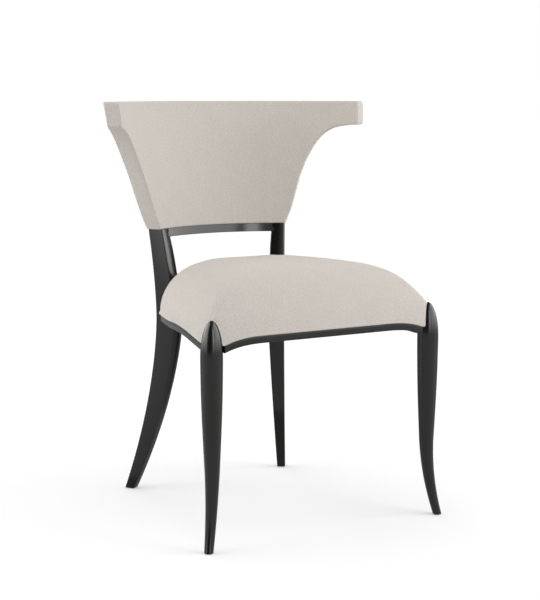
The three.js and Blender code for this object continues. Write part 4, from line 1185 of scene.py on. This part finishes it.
def inside_cover():
    """The padded face: crowned, rounded over to its seam, and slightly uneven as tight cloth is."""
    across, up = face_grid(0, 46)
    height = BACK_TOP - BACK_BOTTOM
    distance = edge_distance(across, up)
    crown = BACK_CROWN * np.sin(math.pi * np.clip(up / height, 0, 1)) * (1 - (across / WING_ARC) ** 2)
    uneven = cloth_noise(across, up, *FACE_UNEVEN) * smoothstep(distance, 0, UNEVEN_MARGIN)
    near_edge = np.exp(-distance / FACE_PULL_REACH) * smoothstep(distance, 0, FACE_PULL_MARGIN)
    pulls = cloth_noise(across, up, *FACE_PULLS) * near_edge
    depth = back_thickness(across) + crown + uneven + pulls - rounding(distance, SEAM_ROUND, SEAM_DROP)
    inner = np.minimum(depth, back_thickness(across) - SEAM_DROP) - BACK_CLOTH * INSIDE_CLOTH_SHARE
    plate("back_inside_cloth", "back_inside_cover", across, up, depth, inner)


def outside_cover():
    across, up = face_grid(0, 34)
    distance = edge_distance(across, up)
    uneven = cloth_noise(across, up, *OUTSIDE_UNEVEN) * smoothstep(distance, 0, UNEVEN_MARGIN)
    depth = rounding(distance, OUTSIDE_ROUND, OUTSIDE_DROP) + uneven
    inner = np.maximum(depth, OUTSIDE_DROP) + BACK_CLOTH * OUTSIDE_CLOTH_SHARE
    plate("back_outside_cloth", "back_outside_cover", across, up, depth, inner)


def around_edge(inset, section):
    """Rings along the back's outline, from sections given as outward shifts, depths and cloth places."""
    loop = back_loop(inset)
    rings = []
    cuts = []
    for place, outward, distance in zip(loop, right_of(np.gradient(loop, axis=0)), distances(loop)):
        shift, depth, cut = section(place[0], distance)
        out = place + outward * shift[:, None]
        rings.append(on_back(out[:, 0], out[:, 1], depth))
        cuts.append(columns(distance, cut))
    return rings, cuts


def border_section(across, distance):
    """A section of the boxed border strip, a little bulged between its two seams."""
    share = np.linspace(0, 1, 15)
    depth = OUTSIDE_DROP + (back_thickness(across) - SEAM_DROP - OUTSIDE_DROP) * share
    wave = noise.noise(Vector((distance * BORDER_WAVE_RATE, *BORDER_WAVE_SEED))) * BORDER_WAVE
    bulge = (BORDER_BULGE + wave) * (1 - (2 * share - 1) ** 4)
    depth = np.concatenate([depth, depth[[-1, 0]]])
    return np.concatenate([bulge, [-BACK_CLOTH, -BACK_CLOTH]]), depth, np.append(depth, depth[0])


def seam_section(level, across, distance):
    """A section of a thin raised seam, which swells at each stitch."""
    turn = np.linspace(0, 2 * math.pi, 9)
    swell = SEAM_RADIUS * (1 + STITCH_SWELL * math.sin(distance * 2 * math.pi / STITCH_LENGTH))
    return np.cos(turn[:-1]) * swell, level(across) + np.sin(turn[:-1]) * swell, turn * SEAM_RADIUS


def border_and_seams():
    rings, cuts = around_edge(0, border_section)
    build("back_border_cloth", "back_border", rings, cuts=cuts)
    levels = {"front": lambda across: back_thickness(across) - SEAM_DROP, "rear": lambda across: OUTSIDE_DROP}
    for side, level in levels.items():
        rings, cuts = around_edge(SEAM_INSET, functools.partial(seam_section, level))
        settle(loft("back_seam_" + side, rings, FINISHES["cloth"], 80, cuts))


def hidden_layers():
    """Foam and wadding inside the back, on the same bend."""
    across, up = face_grid(BACK_CLOTH + CLOTH_EASE, 12)
    panel = FRAME_LAYER + FRAME_DEPTH + LAYER_GAP
    foam = (back_thickness(across) - BACK_CLOTH * 2 - SEAM_DROP, panel + PANEL_THICKNESS + LAYER_GAP)
    plate("back_foam_sheet", "back_foam", across, up, *foam, FOAM_FILL)
    rear = BACK_CLOTH + LAYER_GAP
    wadding = (rear + WADDING, rear + OUTSIDE_DROP / 2)
    plate("back_wadding_sheet", "back_wadding", across, up, *wadding, WADDING_FILL)


def cross_rail():
    """The show-wood rail under the back; its thinner upper part goes up inside the upholstery."""
    end = tongue_angle() - (TONGUE_WIDTH / 2 + FIT_GAP) / BEND_RADIUS
    ledge = -FIT_GAP
    low, high = ledge - CROSS_RAIL_HEIGHT, ledge + CROSS_RAIL_UPPER
    far, near = CROSS_RAIL_RELIEF, BACK_THICKNESS - CROSS_RAIL_RELIEF
    inside = FRAME_LAYER + FRAME_DEPTH
    outline = eased([(far, low, CROSS_RAIL_ARRIS), (far, ledge, 0), (FRAME_LAYER, ledge, 0),
                     (FRAME_LAYER, high, 0), (inside, high, 0), (inside, ledge, 0), (near, ledge, 0),
                     (near, low, CROSS_RAIL_ARRIS)])
    angles = np.linspace(-end, end, 60)[:, None]
    rings = on_back(angles * BEND_RADIUS + 0 * outline[:, 0], outline[:, 1], outline[:, 0])
    build("back_cross_rail_bent", "back_cross_rail", rings, 35)


# Stage


def floor_finish():
    """A pale floor, white to the eye and to reflections, that still shows the chair's soft shadow.

    It glows a little more far from the chair, where the lamps light it less.
    """
    f = Finish("floor_white")
    away = f.node("VectorMath", {0: f.place()}, operation="LENGTH").outputs["Value"]
    strength = f.times(f.seen(), f.remap(away, *FLOOR_GLOW_METRES, *FLOOR_GLOW))
    diffuse = f.node("BsdfDiffuse", {"Color": shade(FLOOR_TONE, FLOOR_TONE, FLOOR_TONE)}).outputs[0]
    return f.show(f.node("AddShader", {0: diffuse, 1: f.glow(strength)}).outputs[0])


def floor():
    far = FLOOR_HALF_METRES
    mesh = bpy.data.meshes.new("floor")
    mesh.from_pydata([(-far, -far, 0), (far, -far, 0), (far, far, 0), (-far, far, 0)], [], [(0, 1, 2, 3)])
    mesh.materials.append(floor_finish())
    placed("floor", mesh)


def world():
    """White for what the eye and reflections see, and an even soft fill for everything else."""
    studio = Nodes(bpy.data.worlds.new("studio"))
    background = studio.tree.nodes["Background"].inputs
    studio.put(background["Color"], shade(1, 1, 1))
    studio.put(background["Strength"], studio.remap(studio.seen(), 0, 1, WORLD_FILL, 1))
    bpy.context.scene.world = studio.owner


FLOOR_HALF_METRES = 30
FLOOR_GLOW = (0.3, 0.53)
FLOOR_GLOW_METRES = (0.9, 3)
FLOOR_TONE = 0.8
WORLD_FILL = 0.6
LAMP_DISTANCE = 2600
# Each lamp's turn to the right of the camera as seen from the chair, height angle, width and height in
# metres, and power
LAMPS = {
    "left": (-85, 32, 2.2, 1.6, 16),
    "left_low": (-70, 12, 2.0, 1.2, 5),
    "back_left": (-140, 35, 1.8, 1.4, 9),
    "right": (78, 30, 2.2, 1.4, 29),
}
# Each card's turns to the right of the camera, height angles, and glow at its foot and above
CARDS = {
    "dark": (-36, 2, -5, 60, 0.05, 0.05),
    "strip": (17, 30, -4, 34, 2, 9.5),
    "right_box": (39, 130, -5, 50, 1.5, 5.6),
    "left_box": (-130, -48, -5, 50, 1.8, 7),
    "rear_flag": (131, 229, -8, 60, 0.1, 0.1),
    "roof": (-180, 180, 62, 88, 0.25, 0.25),
}
CARD_FOOT_METRES = 0.8
# The flat flag behind the chair: its turns to the right of the camera, nearest and furthest distance and glow
LOW_FLAG = (104, 256, 150, 3150, 0.45)
LOW_FLAG_LEVEL = 4
CARD_DISTANCE = 3200
CARD_COLUMNS = 25
CARD_ROWS = 9
AIM = (0, 200, 450)


def around(turn, rise, distance):
    """A place seen from the chair at a turn from the camera and a height angle, both in degrees."""
    level = math.pi + CAMERA_TURN - math.radians(turn)
    up = math.radians(rise)
    direction = np.array([math.sin(level) * math.cos(up), math.cos(level) * math.cos(up), math.sin(up)])
    return np.array(AIM) + distance * direction


def lamp(name, turn, rise, width, height, power):
    light = bpy.data.lights.new(name, "AREA")
    light.shape = "RECTANGLE"
    light.size = width
    light.size_y = height
    light.energy = power
    made = placed(name, light)
    made.visible_glossy = False
    made.location, aim = (Vector(in_frame(point)) for point in (around(turn, rise, LAMP_DISTANCE), AIM))
    made.rotation_euler = (aim - made.location).to_track_quat("-Z", "Y").to_euler()


def upright_card(name, turn_from, turn_to, rise_from, rise_to, foot_glow, glow):
    turns = np.linspace(turn_from, turn_to, CARD_COLUMNS)
    rises = np.linspace(rise_from, rise_to, CARD_ROWS)
    card(name, [[around(turn, rise, CARD_DISTANCE) for turn in turns] for rise in rises], foot_glow, glow)


def low_flag(turn_from, turn_to, near, far, glow):
    turns = np.linspace(turn_from, turn_to, CARD_COLUMNS)
    lift = np.array([0, 0, LOW_FLAG_LEVEL - AIM[2]])
    rows = [[around(turn, 0, distance) + lift for turn in turns] for distance in (near, far)]
    card("low_flag", rows, glow, glow)


def card(name, rows, foot_glow, glow):
    """A studio card, given as rows of points, that only reflections see; it is dimmer at its foot."""
    points = np.array(rows)
    count = points.shape[1]
    corners = [i * count + j for i in range(len(rows) - 1) for j in range(count - 1)]
    faces = [(at, at + 1, at + count + 1, at + count) for at in corners]
    f = Finish(name)
    low = points[0, 0, 2] * MM
    rise = f.node("SeparateXYZ", {0: f.place()}).outputs[2]
    finish = f.show(f.glow(f.remap(rise, low, low + CARD_FOOT_METRES, foot_glow, glow)))
    made = placed(name, plain_mesh(name, points, faces, finish))
    for kind in ("camera", "diffuse", "transmission", "volume_scatter", "shadow"):
        setattr(made, "visible_" + kind, False)


def camera():
    made = placed("camera", bpy.data.cameras.new("camera"))
    made.data.sensor_width = CAMERA_SENSOR
    made.data.lens = CAMERA_LENS
    made.data.clip_end = CAMERA_RANGE_METRES
    made.location = in_frame(CAMERA_PLACE)
    made.rotation_euler = (math.pi / 2 - CAMERA_DROP, 0, -CAMERA_TURN)
    bpy.context.scene.camera = made


def finish_nodes():
    """Every construction node gets the finish of its material slot."""
    for name, piece in frame["nodes"].items():
        piece.data.materials.clear()
        piece.data.materials.append(FINISHES[slot_of(name)])


finish_nodes()
front_legs()
rear_legs()
rails()
cross_rail()
seat_cover()
seat_foam()
straps()
level_cloth("seat_hessian_cloth", "seat_hessian", HESSIAN_MARGIN, 0)
level_cloth("seat_dust_cloth", "seat_dust_cover", RAIL_THICKNESS + SHEET_EASE, DUST_SAG)
inside_cover()
outside_cover()
border_and_seams()
hidden_layers()
floor()
world()
for lamp_name, lamp_settings in LAMPS.items():
    lamp(lamp_name, *lamp_settings)
for card_name, card_settings in CARDS.items():
    upright_card(card_name, *card_settings)
low_flag(*LOW_FLAG)
camera()
bpy.context.scene.view_settings.view_transform = "Standard"
